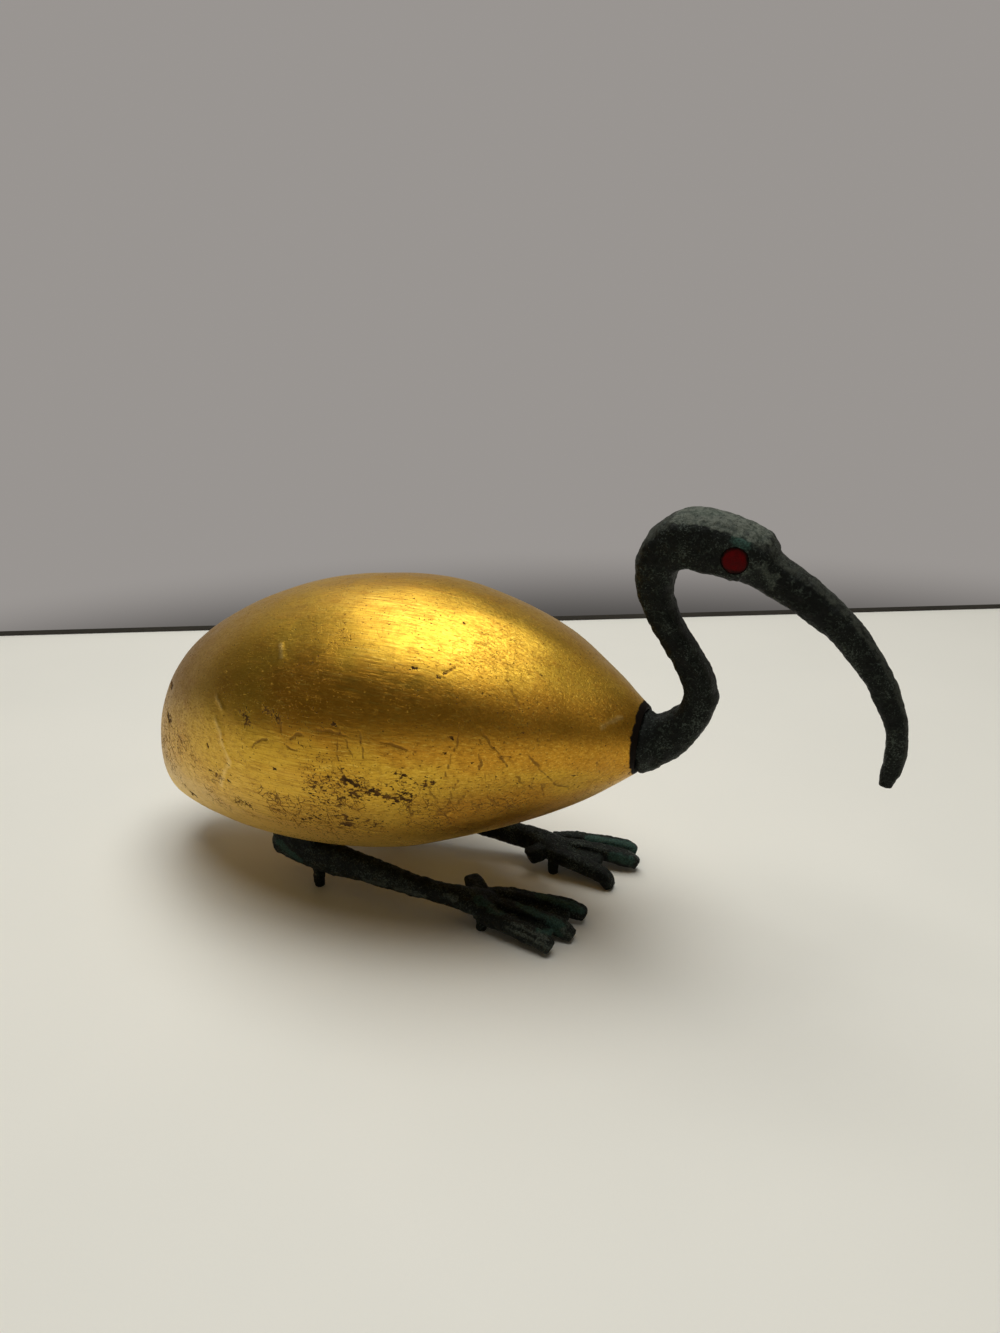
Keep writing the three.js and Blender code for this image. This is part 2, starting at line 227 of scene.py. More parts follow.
# Fineness of the meshes: points round each limb and rings along it, points round each disc, and the edge of
# the voxels of the castings
limb_fineness = dict(neck=(96, 420), shank=(64, 160), toe=(40, 60), web=(32, 40))
riser_points = 96
riser_rings = 30
seat_points = 96
collar_points = 120
eye_points = 48
tang_points = 48
tang_rings = 24
head_voxel = 0.42
leg_voxel = 0.34

# The body's own fineness: its rings, packed towards the tail by a power, and points over the back and belly.
# Past a share of the back, on the near side, they draw closer over a run, worked out in fine steps.
dome_ring_count = 18
body_ring_count = 252
ring_power = 1.2
body_back_points = 330
body_belly_points = 32
near_side = 0.42
near_side_run = 0.03
near_side_extra = 3.5
share_steps = 2001

# Each leg's pose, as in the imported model
leg_poses = [
    dict(
        name="right_leg", side=-1, track=0.386, lead=0, turn=1.7, ankle=0, tang_out=0,
        toes=[
            ((-0.1, -0.275, 0.225), (0.91, -0.525, 0.12)),
            ((-0.05, -0.14, 0.215), (0.91, -0.175, 0.105)),
            ((-0.06, 0.005, 0.185), (0.785, 0.12, 0.125)),
        ],
        webs=(0.86, 0.84), claws=(1, 1, 1),
        hind_toe=((-0.075, -0.225, 0.235), (-0.318, -0.425, 0.22)),
    ),
    dict(
        name="left_leg", side=1, track=0.456, lead=0.169, turn=6, ankle=0.25, tang_out=-0.24,
        toes=[
            ((-0.06, -0.22, 0.225), (0.66, -0.37, 0.115)),
            ((-0.09, -0.012, 0.215), (0.875, 0.05, 0.12)),
            ((-0.1, 0.155, 0.19), (0.815, 0.275, 0.125)),
        ],
        webs=(0.66, 0.86), claws=(2.6, 1, 1),
        hind_toe=((-0.1, -0.2, 0.225), (-0.262, -0.338, 0.205)),
    ),
]

# Camera of the photograph: its frame in pixels, its focal length on a 36 mm sensor's long side, and its
# place and direction in the figure's frame
photo_size = (1000, 1333)
lens = 27
sensor = 36
camera_place = Vector((0.14145, -0.3329, 0.25))
camera_down = math.radians(22)
camera_turn = math.radians(22)

# Figure frame: the tail's tip at x = 0, in millimetres
tail_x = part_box("body")[1][0] / MM - body_length

# Marks in the gold, each a line of pixels of the photograph
gold_cracks = dict(
    tail_line=[(164, 704), (168, 742), (171, 758)],
    shoulder=[(279, 717), (282, 733)],
    hook=[(252, 747), (257, 742), (266, 739)],
    loop_top=[(290, 738), (296, 734), (303, 734)],
    loop_bottom=[(287, 746), (292, 750), (299, 750)],
    mid_long=[(316, 729), (330, 732), (347, 736)],
    mid_right=[(382, 742), (400, 748), (416, 753)],
    drop_a=[(339, 727), (337, 754), (341, 771)],
    drop_b=[(346, 740), (352, 755), (355, 767)],
    drop_c=[(360, 731), (363, 746), (363, 758)],
    upper=[(446, 672), (455, 668)],
    upper_tail=[(508, 681), (514, 694), (519, 709)],
    front_a=[(461, 724), (457, 743), (450, 758), (446, 776)],
    front_b=[(480, 728), (491, 745), (502, 758), (509, 769)],
    front_c=[(480, 739), (480, 765), (487, 784), (489, 799), (502, 808)],
    front_d=[(528, 754), (538, 766), (547, 776), (558, 786), (568, 788)],
    front_e=[(500, 758), (511, 757), (521, 754)],
    front_f=[(517, 776), (521, 782), (532, 789)],
    front_g=[(543, 784), (544, 797)],
    front_h=[(597, 762), (599, 773)],
    fork_a=[(459, 780), (452, 791), (450, 803), (440, 814), (435, 825)],
    fork_b=[(430, 791), (438, 804), (437, 821)],
    fork_c=[(468, 791), (453, 810), (440, 816)],
    tick_a=[(538, 734), (538, 740)],
    tick_b=[(550, 734), (550, 740)],
    tick_c=[(594, 730), (594, 736)],
    belly_a=[(352, 826), (366, 831), (384, 832)],
    belly_b=[(404, 800), (411, 812), (409, 822)],
)
gold_spots = dict(
    tail_a=[(172, 683), (173, 686)], tail_b=[(170, 715), (171, 721)], tail_c=[(172, 778), (173, 783)],
    tail_d=[(192, 793), (193, 796)], rear_a=[(207, 744), (208, 747)], rear_b=[(210, 770), (211, 771)],
    rear_c=[(274, 769), (277, 769)], rear_d=[(228, 780), (229, 781)], rear_e=[(333, 724), (336, 725)],
    top_a=[(412, 669), (416, 669)], top_b=[(438, 677), (439, 678)], top_c=[(444, 673), (445, 673)],
    top_d=[(464, 623), (466, 623)], top_e=[(481, 694), (482, 694)], top_f=[(497, 698), (498, 699)],
    front_a=[(573, 776), (575, 776)], front_b=[(444, 751), (445, 754)], front_c=[(431, 782), (434, 783)],
    front_d=[(402, 775), (405, 776)], front_e=[(451, 738), (453, 740)],
)
gold_clusters = dict(
    rear_high=[(243, 712), (249, 718), (248, 724)],
    rear_mid=[(264, 709), (276, 715), (278, 721)],
    low_a=[(236, 800), (250, 806)],
)
gold_cores = dict(
    high=[(344, 779), (351, 783), (358, 785)], mid=[(351, 794), (358, 796)], low=[(342, 824), (351, 824)],
    band_a=[(371, 791), (377, 793)], band_b=[(386, 797), (393, 799)], band_c=[(400, 799), (411, 801)],
    low_b=[(344, 816), (347, 817)],
    tail_a=[(171, 682), (172, 687)], tail_b=[(168, 714), (170, 721)], tail_c=[(172, 777), (174, 784)],
    tail_d=[(191, 792), (196, 796)],
)
gold_patches = dict(
    dark_a=[(326, 783), (340, 783)], dark_b=[(343, 779), (360, 786)], dark_c=[(352, 792), (362, 795)],
    dark_d=[(366, 790), (388, 794), (410, 796)], ring=[(402, 776), (403, 780)],
    low_a=[(344, 819), (352, 819)], low_b=[(310, 819), (322, 819)], low_c=[(320, 801), (340, 801)],
    right_a=[(422, 787), (428, 785)], right_b=[(398, 801), (410, 804)], low_d=[(372, 824), (380, 822)],
    left=[(308, 786), (322, 790)],
)
# Raised creases in the leaf, each with a painted highlight along it
gold_ridge_highlights = dict(
    rear_a=[(217, 697), (222, 709)],
    rear_b=[(216, 720), (220, 731), (222, 742), (226, 752), (231, 762), (226, 769), (223, 777), (222, 785)],
    tick=[(281, 645), (282, 657)],
    glint=[(601, 728), (610, 722), (621, 718)],
)
gold_satin = dict(front=[(505, 668), (540, 683), (575, 690), (600, 705)])
# Darker, redder tone along the dark reflection band and low at the front: painted shade
gold_warm_shade = dict(
    band=[(300, 695), (360, 705), (420, 722), (480, 738), (540, 732), (600, 738), (622, 742)],
    low=[(480, 815), (530, 808)],
)

# Each kind of mark in the gold: its lines, how far it reaches from them in mm, and the seed of its bends
gold_marks = dict(
    crack=(gold_cracks, 1.8, 30), spot=(gold_spots, 1.1, 33), cluster=(gold_clusters, 5, 36),
    patch=(gold_patches, 7, 39), core=(gold_cores, 2.1, 48), ridge_highlight=(gold_ridge_highlights, 1.9, 42),
    satin=(gold_satin, 26, 45), warm_shade=(gold_warm_shade, 22, 51),
)
# Strength of a cluster beside a single spot, and heights of the marks in mm
cluster_share = 0.62
ridge_height = 0.26
crack_depth = 0.12
spot_depth = 0.1
# Values of the marks between which the surface sinks
crack_sink = (0.5, 0.95)
core_sink = (0.2, 0.7)
# Bends of a drawn line: number and length of their waves and their size for a reach of 1 mm, and the powers
# of the reach with which both grow
bend_waves = 24
bend_length = 3.2
bend_length_power = 0.5
bend_size = 0.22
bend_size_power = 0.7

# Pale and green places on the bronze, as the marks in the gold
head_pale = dict(
    patch_a=[(758, 565), (762, 567), (766, 574)],
    patch_b=[(766, 574), (772, 577), (778, 577)],
    patch_c=[(767, 576), (769, 583), (771, 589)],
    patch_d=[(775, 579), (773, 586)],
    brow=[(744, 574), (749, 574)],
)
head_green = dict(
    crown=[(698, 512), (717, 513)],
    brow=[(738, 540), (746, 544)],
    neck=[(700, 640), (712, 662), (716, 684)],
)
# Part of the crown that looks pale, partly dust and partly a painted sheen of the light on its upward face:
# shares of the neck's length forward and up, how far its face looks up, and the lengths over which it fades
crown_span = (0.05, 0.45)
crown_foot = 0.86
crown_rise = (0.5, 0.68)
crown_fade = 4
crown_foot_fade = 2
# Paler strip along the outer side of the head and bill, a painted sheen of the light, fainter on the front of
# the neck, which is the first share of the casting
strip_rise = (0.55, 0.75)
neck_share = 0.36
neck_strip = 0.4
strip_steps = 600

# Burrs and corners on the outline of the head and neck: pixel of the photograph, reach and height in mm
head_burrs = dict(
    neck_corner=((718, 701), 3.6, 1.1), brow=((773, 535), 2.6, 0.6),
    chin_a=((708, 575), 1.7, 0.8), chin_b=((716, 578), 1.4, 0.5), chin_c=((724, 578), 1.7, 0.8),
    step_a=((681, 699), 2, 0.4), step_b=((673, 710), 2, 0.4), crown=((665, 527), 2, 0.4),
    nape=((641, 560), 3, 0.5), bill_a=((811, 606), 3, 0.4), bill_b=((872, 700), 2.5, 0.4),
)
foot_pale = dict(
    shank_a=[(364, 880), (384, 885)], shank_b=[(396, 889), (424, 896)], hind=[(446, 896), (456, 898)],
    outer_a=[(507, 928), (520, 934), (534, 940), (550, 947)], outer_b=[(512, 922), (528, 930), (545, 938)],
    inner_tip=[(583, 906), (588, 912)],
    mid_tip=[(562, 930), (573, 937)], root=[(492, 905), (497, 912)],
)
foot_green = dict(
    mid=[(520, 905), (540, 914), (560, 926)], inner=[(540, 895), (560, 902), (582, 910)],
    ankle=[(480, 900), (500, 912)], toes=[(540, 930), (560, 934)], hock=[(278, 843), (300, 860)],
)
far_foot_green = dict(inner=[(590, 838), (622, 843), (636, 849)], mid=[(612, 857), (630, 862)])

pale_reach = 1.9
green_reach = 3.4
head_marks = dict(pale=(head_pale, pale_reach, 50), green=(head_green, green_reach, 53))
leg_marks = dict(
    right_leg=dict(pale=(foot_pale, pale_reach, 56), green=(foot_green, green_reach, 59)),
    left_leg=dict(pale=({}, pale_reach, 56), green=(far_foot_green, green_reach, 59)),
)


def smooth_column(stations, column, at):
    """Smooth value of one column of a station table at places along its first column."""
    x = stations[:, 0]
    y = stations[:, column]
    last = len(x) - 1
    low = np.maximum(np.arange(last + 1) - 1, 0)
    high = np.minimum(np.arange(last + 1) + 1, last)
    slope = (y[high] - y[low]) / (x[high] - x[low])
    i = np.clip(np.searchsorted(x, at) - 1, 0, last - 1)
    span = x[i + 1] - x[i]
    t = (at - x[i]) / span
    start = (2 * t**3 - 3 * t**2 + 1) * y[i]
    end = (3 * t**2 - 2 * t**3) * y[i + 1]
    return start + end + span * ((t**3 - 2 * t**2 + t) * slope[i] + (t**3 - t**2) * slope[i + 1])


def section_points(sides, square, dome):
    """Superellipse sections in shares of half width and half height, one row for each place."""
    angle = 2 * np.pi * np.arange(sides) / sides
    square = np.asarray(square)[:, None]
    dome = np.asarray(dome)[:, None]
    across = np.sign(np.cos(angle)) * np.abs(np.cos(angle)) ** (2 / square)
    rise = np.sign(np.sin(angle)) * np.abs(np.sin(angle)) ** (2 / square)
    rise = np.where(rise > 0, rise * (1 - dome * across**2), rise)
    return across, rise


class Curve:
    """Centripetal Catmull-Rom curve through points of any number of columns, open at both ends."""

    def __init__(self, points):
        self.points = np.asarray(points, float)
        before = 2 * self.points[0] - self.points[1]
        after = 2 * self.points[-1] - self.points[-2]
        self.padded = np.vstack([before, self.points, after])

    def at(self, t):
        t = np.atleast_1d(np.clip(t, 0, 1))
        last = len(self.points) - 1
        i = np.minimum((t * last).astype(int), last - 1)
        w = (t * last - i)[:, None]
        p0, p1, p2, p3 = (self.padded[i + k] for k in range(4))
        d0, d1, d2 = (np.sum((b - a) ** 2, axis=1) ** 0.25 for a, b in ((p0, p1), (p1, p2), (p2, p3)))
        d1 = np.where(d1 < 1e-4, 1, d1)
        d0 = np.where(d0 < 1e-4, d1, d0)[:, None]
        d2 = np.where(d2 < 1e-4, d1, d2)[:, None]
        d1 = d1[:, None]
        start = ((p1 - p0) / d0 - (p2 - p0) / (d0 + d1) + (p2 - p1) / d1) * d1
        end = ((p2 - p1) / d1 - (p3 - p1) / (d1 + d2) + (p3 - p2) / d2) * d1
        return (p1 + start * w + (-3 * p1 + 3 * p2 - 2 * start - end) * w**2
                + (2 * p1 - 2 * p2 + start + end) * w**3)

    def tangent(self, t):
        step = 1e-4
        run = self.at(np.minimum(np.asarray(t) + step, 1)) - self.at(np.maximum(np.asarray(t) - step, 0))
        return run / np.linalg.norm(run, axis=1)[:, None]


class Waves:
    """Smooth seeded noise: a sum of waves of about one length in all directions, about -1 to 1."""

    def __init__(self, seed, length, count=wave_count):
        rng = np.random.default_rng(seed)
        direction = rng.normal(size=(count, 3))
        direction /= np.linalg.norm(direction, axis=1)[:, None]
        self.waves = direction * (2 * np.pi / (length * rng.uniform(*wave_spread, count)))[:, None]
        self.phase = rng.uniform(0, 2 * np.pi, count)
        self.level = 1 / math.sqrt(count)

    def at(self, points):
        return np.sin(points @ self.waves.T + self.phase).sum(axis=1) * self.level


def waves_at(points, layers):
    """Sum of seeded waves, each given by its seed, length and height."""
    return sum(height * Waves(seed, length).at(points) for seed, length, height in layers)


def smoothstep(value, low, high):
    t = np.clip((value - low) / (high - low), 0, 1)
    return t * t * (3 - 2 * t)


def pixel_ray(pixel):
    """Direction from the camera through a pixel of the photograph."""
    focal = lens / sensor * max(photo_size)
    aim = Vector((pixel[0] - photo_size[0] / 2, photo_size[1] / 2 - pixel[1], -focal))
    turn = Matrix.Rotation(camera_turn, 3, "Z") @ Matrix.Rotation(math.pi / 2 - camera_down, 3, "X")
    return (turn @ aim).normalized()


def on_floor(pixel):
    ray = pixel_ray(pixel)
    return camera_place + ray * (-camera_place.z / ray.z)


def on_middle(pixel):
    """Place in mm on the upright plane through the middle of the figure."""
    ray = pixel_ray(pixel)
    place = camera_place - ray * (camera_place.y / ray.y)
    return np.array(place) / MM - (tail_x, 0, 0)


def tube(name, rings):
    """Closed object through rings of points, an array of rings by sides by 3, with a fan at each end."""
    count, sides = rings.shape[:2]
    faces = []
    for i in range(count - 1):
        a = i * sides
        b = a + sides
        faces += [(a + k, a + (k + 1) % sides, b + (k + 1) % sides, b + k) for k in range(sides)]
    first = count * sides
    last = first - sides
    faces += [(first, (k + 1) % sides, k) for k in range(sides)]
    faces += [(first + 1, last + k, last + (k + 1) % sides) for k in range(sides)]
    points = np.vstack([rings.reshape(-1, 3), rings[0].mean(axis=0), rings[-1].mean(axis=0)])
    mesh = bpy.data.meshes.new(name)
    mesh.from_pydata((points + (tail_x, 0, 0)) * MM, [], faces)
    mesh.validate()
    made = bpy.data.objects.new(name, mesh)
    bpy.context.collection.objects.link(made)
    return made


def limb(name, stations, across, start_round=0.0, end_round=0.0):
    """Limb through stations of place, width, height, square and dome, rounded at its ends."""
    sides, rings = limb_fineness[name]
    line = Curve([s["at"] for s in stations])
    size = Curve([(s["width"] / 2, s["height"] / 2) for s in stations])
    shape = Curve([(s["square"], s["dome"]) for s in stations])
    start = round_angles if start_round else round_angles[:0]
    end = round_angles[::-1] if end_round else round_angles[:0]
    t = np.concatenate([0 * start, np.linspace(0, 1, rings), 0 * end + 1])
    shift = np.concatenate([-start_round * size.at(0)[0, 1] * np.sin(start), np.zeros(rings),
                            end_round * size.at(1)[0, 1] * np.sin(end)])
    shrink = np.cos(np.concatenate([start, np.zeros(rings), end]))
    across = np.asarray(across, float)
    forward = line.tangent(t)
    normal = np.cross(forward, across)
    normal /= np.linalg.norm(normal, axis=1)[:, None]
    centre = line.at(t) + forward * shift[:, None]
    half = size.at(t) * shrink[:, None]
    wide, high = section_points(sides, *shape.at(t).T)
    points = (centre[:, None, :] + across * (wide * half[:, 0:1])[:, :, None]
              + normal[:, None, :] * (high * half[:, 1:2])[:, :, None])
    return tube(name, points)


def disc(name, profile, sides, centre, axis):
    """Round closed object from a profile of radius and distance along an axis from a centre."""
    angle = 2 * np.pi * np.arange(sides) / sides
    axis = Vector(axis).normalized()
    across = axis.orthogonal().normalized()
    up = axis.cross(across)
    ring = np.outer(np.cos(angle), across) + np.outer(np.sin(angle), up)
    rings = [np.asarray(centre) + ring * radius + np.asarray(axis) * away for radius, away in profile]
    return tube(name, np.array(rings))


def joined(objects, name):
    """One object that holds the meshes of several."""
    bpy.ops.object.select_all(action="DESELECT")
    for o in objects:
        o.select_set(True)
    bpy.context.view_layer.objects.active = objects[0]
    bpy.ops.object.join()
    objects[0].name = name
    objects[0].data.name = name
    return objects[0]


def applied(made, kind, **settings):
    """Works one modifier into the object's mesh."""
    modifier = made.modifiers.new(kind.lower(), kind)
    for key, value in settings.items():
        setattr(modifier, key, value)
    depsgraph = bpy.context.evaluated_depsgraph_get()
    mesh = bpy.data.meshes.new_from_object(made.evaluated_get(depsgraph))
    made.modifiers.clear()
    old = made.data
    made.data = mesh
    bpy.data.meshes.remove(old)
    mesh.name = made.name


def cut(made, tool):
    """Takes a tool away from the object, and removes the tool."""
    applied(made, "BOOLEAN", object=tool, operation="DIFFERENCE", solver="EXACT")
    bpy.data.objects.remove(tool)


def points_of(made):
    """Points in millimetres in the figure frame, and outward normals."""
    mesh = made.data
    count = len(mesh.vertices)
    points = np.empty(count * 3)
    normals = np.empty(count * 3)
    mesh.vertices.foreach_get("co", points)
    mesh.vertex_normals.foreach_get("vector", normals)
    return points.reshape(-1, 3) / MM - (tail_x, 0, 0), normals.reshape(-1, 3)


def put_points(made, points):
    placed = (points + (tail_x, 0, 0)) * MM
    made.data.vertices.foreach_set("co", placed.ravel())
    made.data.update()


def drawn(made, lines, reach, seed):
    """Nearness of each point to lines drawn over the piece in the photograph, 1 on a line to 0 at reach."""
    points = points_of(made)[0]
    shell = BVHTree.FromObject(made, bpy.context.evaluated_depsgraph_get())
    near = np.zeros(len(points))
    bends = [Waves(seed + k, bend_length * reach**bend_length_power, bend_waves).at(points) for k in range(3)]
    warped = points + np.column_stack(bends) * bend_size * reach**bend_size_power
    for pixels in lines.values():
        hits = [shell.ray_cast(camera_place, pixel_ray(pixel))[0] for pixel in pixels]
        line = np.array([np.array(hit) / MM - (tail_x, 0, 0) for hit in hits if hit])
        if len(line) < 2:
            continue
        low = line.min(axis=0) - 2 * reach
        high = line.max(axis=0) + 2 * reach
        close = np.all((points > low) & (points < high), axis=1)
        for a, b in zip(line[:-1], line[1:]):
            run = b - a
            t = np.clip((warped[close] - a) @ run / max(run @ run, 1e-9), 0, 1)
            away = np.linalg.norm(warped[close] - a - t[:, None] * run, axis=1)
            near[close] = np.maximum(near[close], 1 - away / reach)
    return np.clip(near, 0, 1)


def drawn_masks(made, marks):
    return {name: drawn(made, lines, reach, seed) for name, (lines, reach, seed) in marks.items()}


def put_masks(made, masks):
    """Keeps a value for each point of a piece under each name, for its material."""
    for name, values in masks.items():
        kept = made.data.attributes.new(name, "FLOAT", "POINT")
        kept.data.foreach_set("value", np.asarray(values, np.float32))


def nearest_of(points, places):
    """Index of the place nearest to each point."""
    tree = KDTree(len(places))
    for i, place in enumerate(places):
        tree.insert(place, i)
    tree.balance()
    return np.array([tree.find(point)[1] for point in points])


def body_section(along):
    """Height of the middle, half width, half height and belly edge angle at places along the body."""
    middle = shoulder_height + smooth_column(body_stations, 1, along) * body_length
    high = smooth_column(body_stations, 2, along) * body_height / 2
    wide = smooth_column(body_stations, 3, along) * body_width / 2
    edge = np.radians(belly_angle + (belly_faint_angle - belly_angle) * smoothstep(along, *belly_fade))
    return middle, wide, high, edge


def section_at(x):
    """The same at distances from the tail's tip."""
    return body_section(np.clip(x / body_length, body_stations[0, 0], 1))


def dense_share(count, start, extra):
    """Shares from 0 to 1, packed closer past one of them."""
    fine = np.linspace(0, 1, share_steps)
    weight = 1 + extra * smoothstep(fine, start - near_side_run, start)
    total = np.concatenate([[0], np.cumsum((weight[1:] + weight[:-1]) / 2)])
    return np.interp(np.arange(count + 1) / count, total / total[-1], fine)


def body_rings():
    """Rings of the body, with a low dome behind and a flat end in front."""
    tail = body_stations[0, 0]
    dome_angles = np.linspace(tail_dome_end, tail_dome_start, dome_ring_count, endpoint=False)
    run = np.linspace(0, 1, body_ring_count) ** ring_power
    along = np.concatenate([np.full(dome_ring_count, tail), tail + (1 - tail) * run])
    rise = (np.sin(dome_angles) - math.sin(tail_dome_start)) / (1 - math.sin(tail_dome_start))
    shift = np.concatenate([-tail_dome * rise, np.zeros(body_ring_count)])
    shrink = np.concatenate([np.cos(dome_angles) / math.cos(tail_dome_start), np.ones(body_ring_count)])
    middle, wide, high, edge = body_section(along)
    k = dense_share(body_back_points, near_side, near_side_extra)
    angle = -edge[:, None] + (np.pi + 2 * edge[:, None]) * k
    flat = 1 - 2 * np.arange(1, body_belly_points) / body_belly_points
    y = np.hstack([np.cos(angle), -np.cos(edge)[:, None] * flat])
    z = np.hstack([np.sin(angle), -np.sin(edge)[:, None] * np.ones(body_belly_points - 1)])
    x = np.broadcast_to((along * body_length + shift)[:, None], y.shape)
    return np.stack([x, y * (wide * shrink)[:, None], middle[:, None] + z * (high * shrink)[:, None]], axis=2)


def shoulder_relief(points):
    """Swell of the soft shoulders at each point."""
    x = points[:, 0]
    middle, wide, high = section_at(x)[:3]
    turn = np.degrees(np.arctan2(np.abs(points[:, 1]) / wide, (points[:, 2] - middle) / high))
    turn += shoulder_rear_turn * smoothstep(x, *shoulder_rear_run)
    start, fullest, end = shoulder_turn
    shoulder = smoothstep(turn, start, fullest) * smoothstep(turn, end, fullest)
    fuller = smoothstep(x, *shoulder_run) * (1 + shoulder_front * smoothstep(x, *shoulder_front_run))
    return shoulder * fuller * shoulder_swell * high


def belly_edges(points):
    """Share that each point has in the worn edges of the flat belly."""
    middle, wide, high, edge = section_at(points[:, 0])
    above = points[:, 2] - (middle - high * np.sin(edge))
    outward = np.abs(points[:, 1]) - wide * np.cos(edge)
    near = 1 - smoothstep(np.hypot(above, outward), *edge_wear)
    return near * (1 - smoothstep(points[:, 0], *edge_wear_end))


def make_body():
    """Gilded body with the shallow seat of the collar."""
    body = tube("gilded_body", body_rings())
    radius = collar_width / 2 + seat_gap
    seat = disc("seat", [(radius, 0), (radius, 2 * collar_sink)], seat_points, collar_centre, (1, 0, 0))
    points, normals = points_of(body)
    relief = waves_at(points, body_waves) + shoulder_relief(points)
    calm = smoothstep(points[:, 0], body_length, body_length - calm_length)
    points[:, 1] *= 1 - body_slim * (1 - smoothstep(points[:, 0], *body_slim_end))
    put_points(body, points + normals * (relief * calm)[:, None])
    cut(body, seat)
    masks = drawn_masks(body, gold_marks)
    masks["spot"] = np.maximum(masks["spot"], cluster_share * masks.pop("cluster"))
    points, normals = points_of(body)
    masks["edge"] = belly_edges(points)
    put_masks(body, masks)
    sunk = np.maximum(smoothstep(masks["crack"], *crack_sink), smoothstep(masks["core"], *core_sink))
    relief = ridge_height * masks["ridge_highlight"] - crack_depth * sunk - spot_depth * masks["spot"]
    put_points(body, points + normals * relief[:, None])
    return body


def neck_place(share):
    return (body_length + share[0] * neck_length, 0, shoulder_height + share[1] * neck_length)


def station(at, height, width, square=2.4, dome=0):
    return dict(at=at, height=height, width=width, square=square, dome=dome)


def collar_profile(steps=16):
    """Round-edged disc that stands off the bottom of its seat by the gap."""
    bead = collar_thickness / 2
    flat = collar_width / 2 - bead
    angle = np.linspace(-np.pi / 2, np.pi / 2, steps)
    rim = [(flat + bead * math.cos(a), seat_gap + bead + bead * math.sin(a)) for a in angle]
    return [(tip_radius, seat_gap), *rim, (tip_radius, seat_gap + collar_thickness)]


def eye_disc(name, side, radius, near, far, crown=0.0):
    """Disc at an eye's place, between two distances from the middle of the head."""
    face = [(radius * share, far - crown * share**2) for share in eye_face]
    profile = [(tip_radius, near), (radius, near), *face]
    return disc(name, profile, eye_points, neck_place(eye_place), (0, side, 0))


def sheen_strip_share(points, normals, stations):
    """Share that each point has in the outer strip of the head and bill, or the front strip of the neck, where
    a sheen of the light is painted.
    """
    line = Curve([s["at"] for s in stations])
    t = np.linspace(0, 1, strip_steps)
    upward = np.cross(line.tangent(t), (0, 1, 0))
    nearest = nearest_of(points, line.at(t))
    side = np.sum(normals * upward[nearest], axis=1)
    on_neck = t[nearest] < neck_share
    return smoothstep(np.where(on_neck, -side, side), *strip_rise) * np.where(on_neck, neck_strip, 1)


def crown_dust_and_sheen(points, normals):
    """Share that each point has in the pale part of the crown, partly dust and partly a painted sheen of the
    light.
    """
    foot = neck_place((0, crown_foot))[2]
    rear, front = (neck_place((forward, 0))[0] for forward in crown_span)
    return (smoothstep(normals[:, 2], *crown_rise) * smoothstep(points[:, 2], foot, foot + crown_foot_fade)
            * smoothstep(points[:, 0], rear, rear + crown_fade)
            * smoothstep(points[:, 0], front, front - crown_fade))


def make_head():
    """Collar, neck, head and bill, one casting, with the sockets of the eyes."""
    stations = [
        station(neck_place((forward, up)), depth * neck_length, width * neck_length, square, dome)
        for forward, up, depth, width, square, dome in neck_stations
    ]
    neck = limb("neck", stations, (0, 1, 0), end_round=neck_round)
    collar = disc("collar", collar_profile(), collar_points, collar_centre, (1, 0, 0))
    root = disc("root", root_profile, collar_points, collar_centre, (1, 0, 0))
    head = joined([neck, collar, root], "bronze_head_and_neck")
    applied(head, "REMESH", mode="VOXEL", voxel_size=head_voxel * MM)
    points, normals = points_of(head)
    near_root = 1 - smoothstep(points[:, 0], *root_waves_end)
    relief = waves_at(points, head_waves) + near_root * waves_at(points, root_waves)
    for pixel, reach, height in head_burrs.values():
        away = np.hypot(*(points - on_middle(pixel))[:, [0, 2]].T)
        relief += height * np.clip(1 - away / reach, 0, 1)
    masks = dict(crown=crown_dust_and_sheen(points, normals), strip=sheen_strip_share(points, normals, stations))
    put_points(head, points + normals * relief[:, None])
    for side in (1, -1):
        cut(head, eye_disc("socket", side, eye_width / 2 + seat_gap, cheek - eye_thickness - seat_gap,
                           cheek + eye_thickness))
    nearest = nearest_of(points_of(head)[0], points)
    put_masks(head, {name: values[nearest] for name, values in masks.items()})
    put_masks(head, drawn_masks(head, head_marks))
    return head


def make_eye(side, name):
    """Inlay of one eye, darker towards its rim."""
    eye = eye_disc(name, side, eye_width / 2, cheek - eye_thickness, cheek + eye_proud, eye_crown)
    points = points_of(eye)[0]
    away = np.hypot(*(points - neck_place(eye_place))[:, [0, 2]].T) + waves_at(points, eye_waves)
    put_masks(eye, dict(rim=smoothstep(away, *(share * eye_width / 2 for share in eye_rim))))
    return eye


def leg_place(pose, forward, out, up):
    """Place at a distance forward of the hock's tang and outward from the leg's track."""
    turn = math.radians(pose["turn"])
    x = (hock_share * body_length + pose["lead"] * leg_span
         + forward * math.cos(turn) - out * math.sin(turn))
    y = pose["track"] * body_width / 2 + forward * math.sin(turn) + out * math.cos(turn)
    return np.array([x, pose["side"] * y, up])


def leg_limb(name, stations, **rounds):
    run = stations[-1]["at"] - stations[0]["at"]
    run[2] = 0
    run = run / np.linalg.norm(run)
    return limb(name, stations, across=np.cross((0, 0, 1), run), **rounds)


def shank(pose):
    stations = []
    for forward, out, up, height, width, ankle in shank_stations:
        swell = ankle * pose["ankle"] * height
        at = leg_place(pose, forward * leg_span, out * leg_span, (up - swell / 2) * leg_span)
        stations.append(station(at, (height + swell) * leg_span, width * leg_span))
    return leg_limb("shank", stations, start_round=shank_round, end_round=shank_round)


def toe_place(pose, toe, along):
    forward, out, up = (start + (tip - start) * along for start, tip in zip(*toe))
    arch = toe_arch * math.sin(math.pi * along)
    return leg_place(pose, leg_span + forward * foot_length, out * foot_length, up * foot_length + arch)


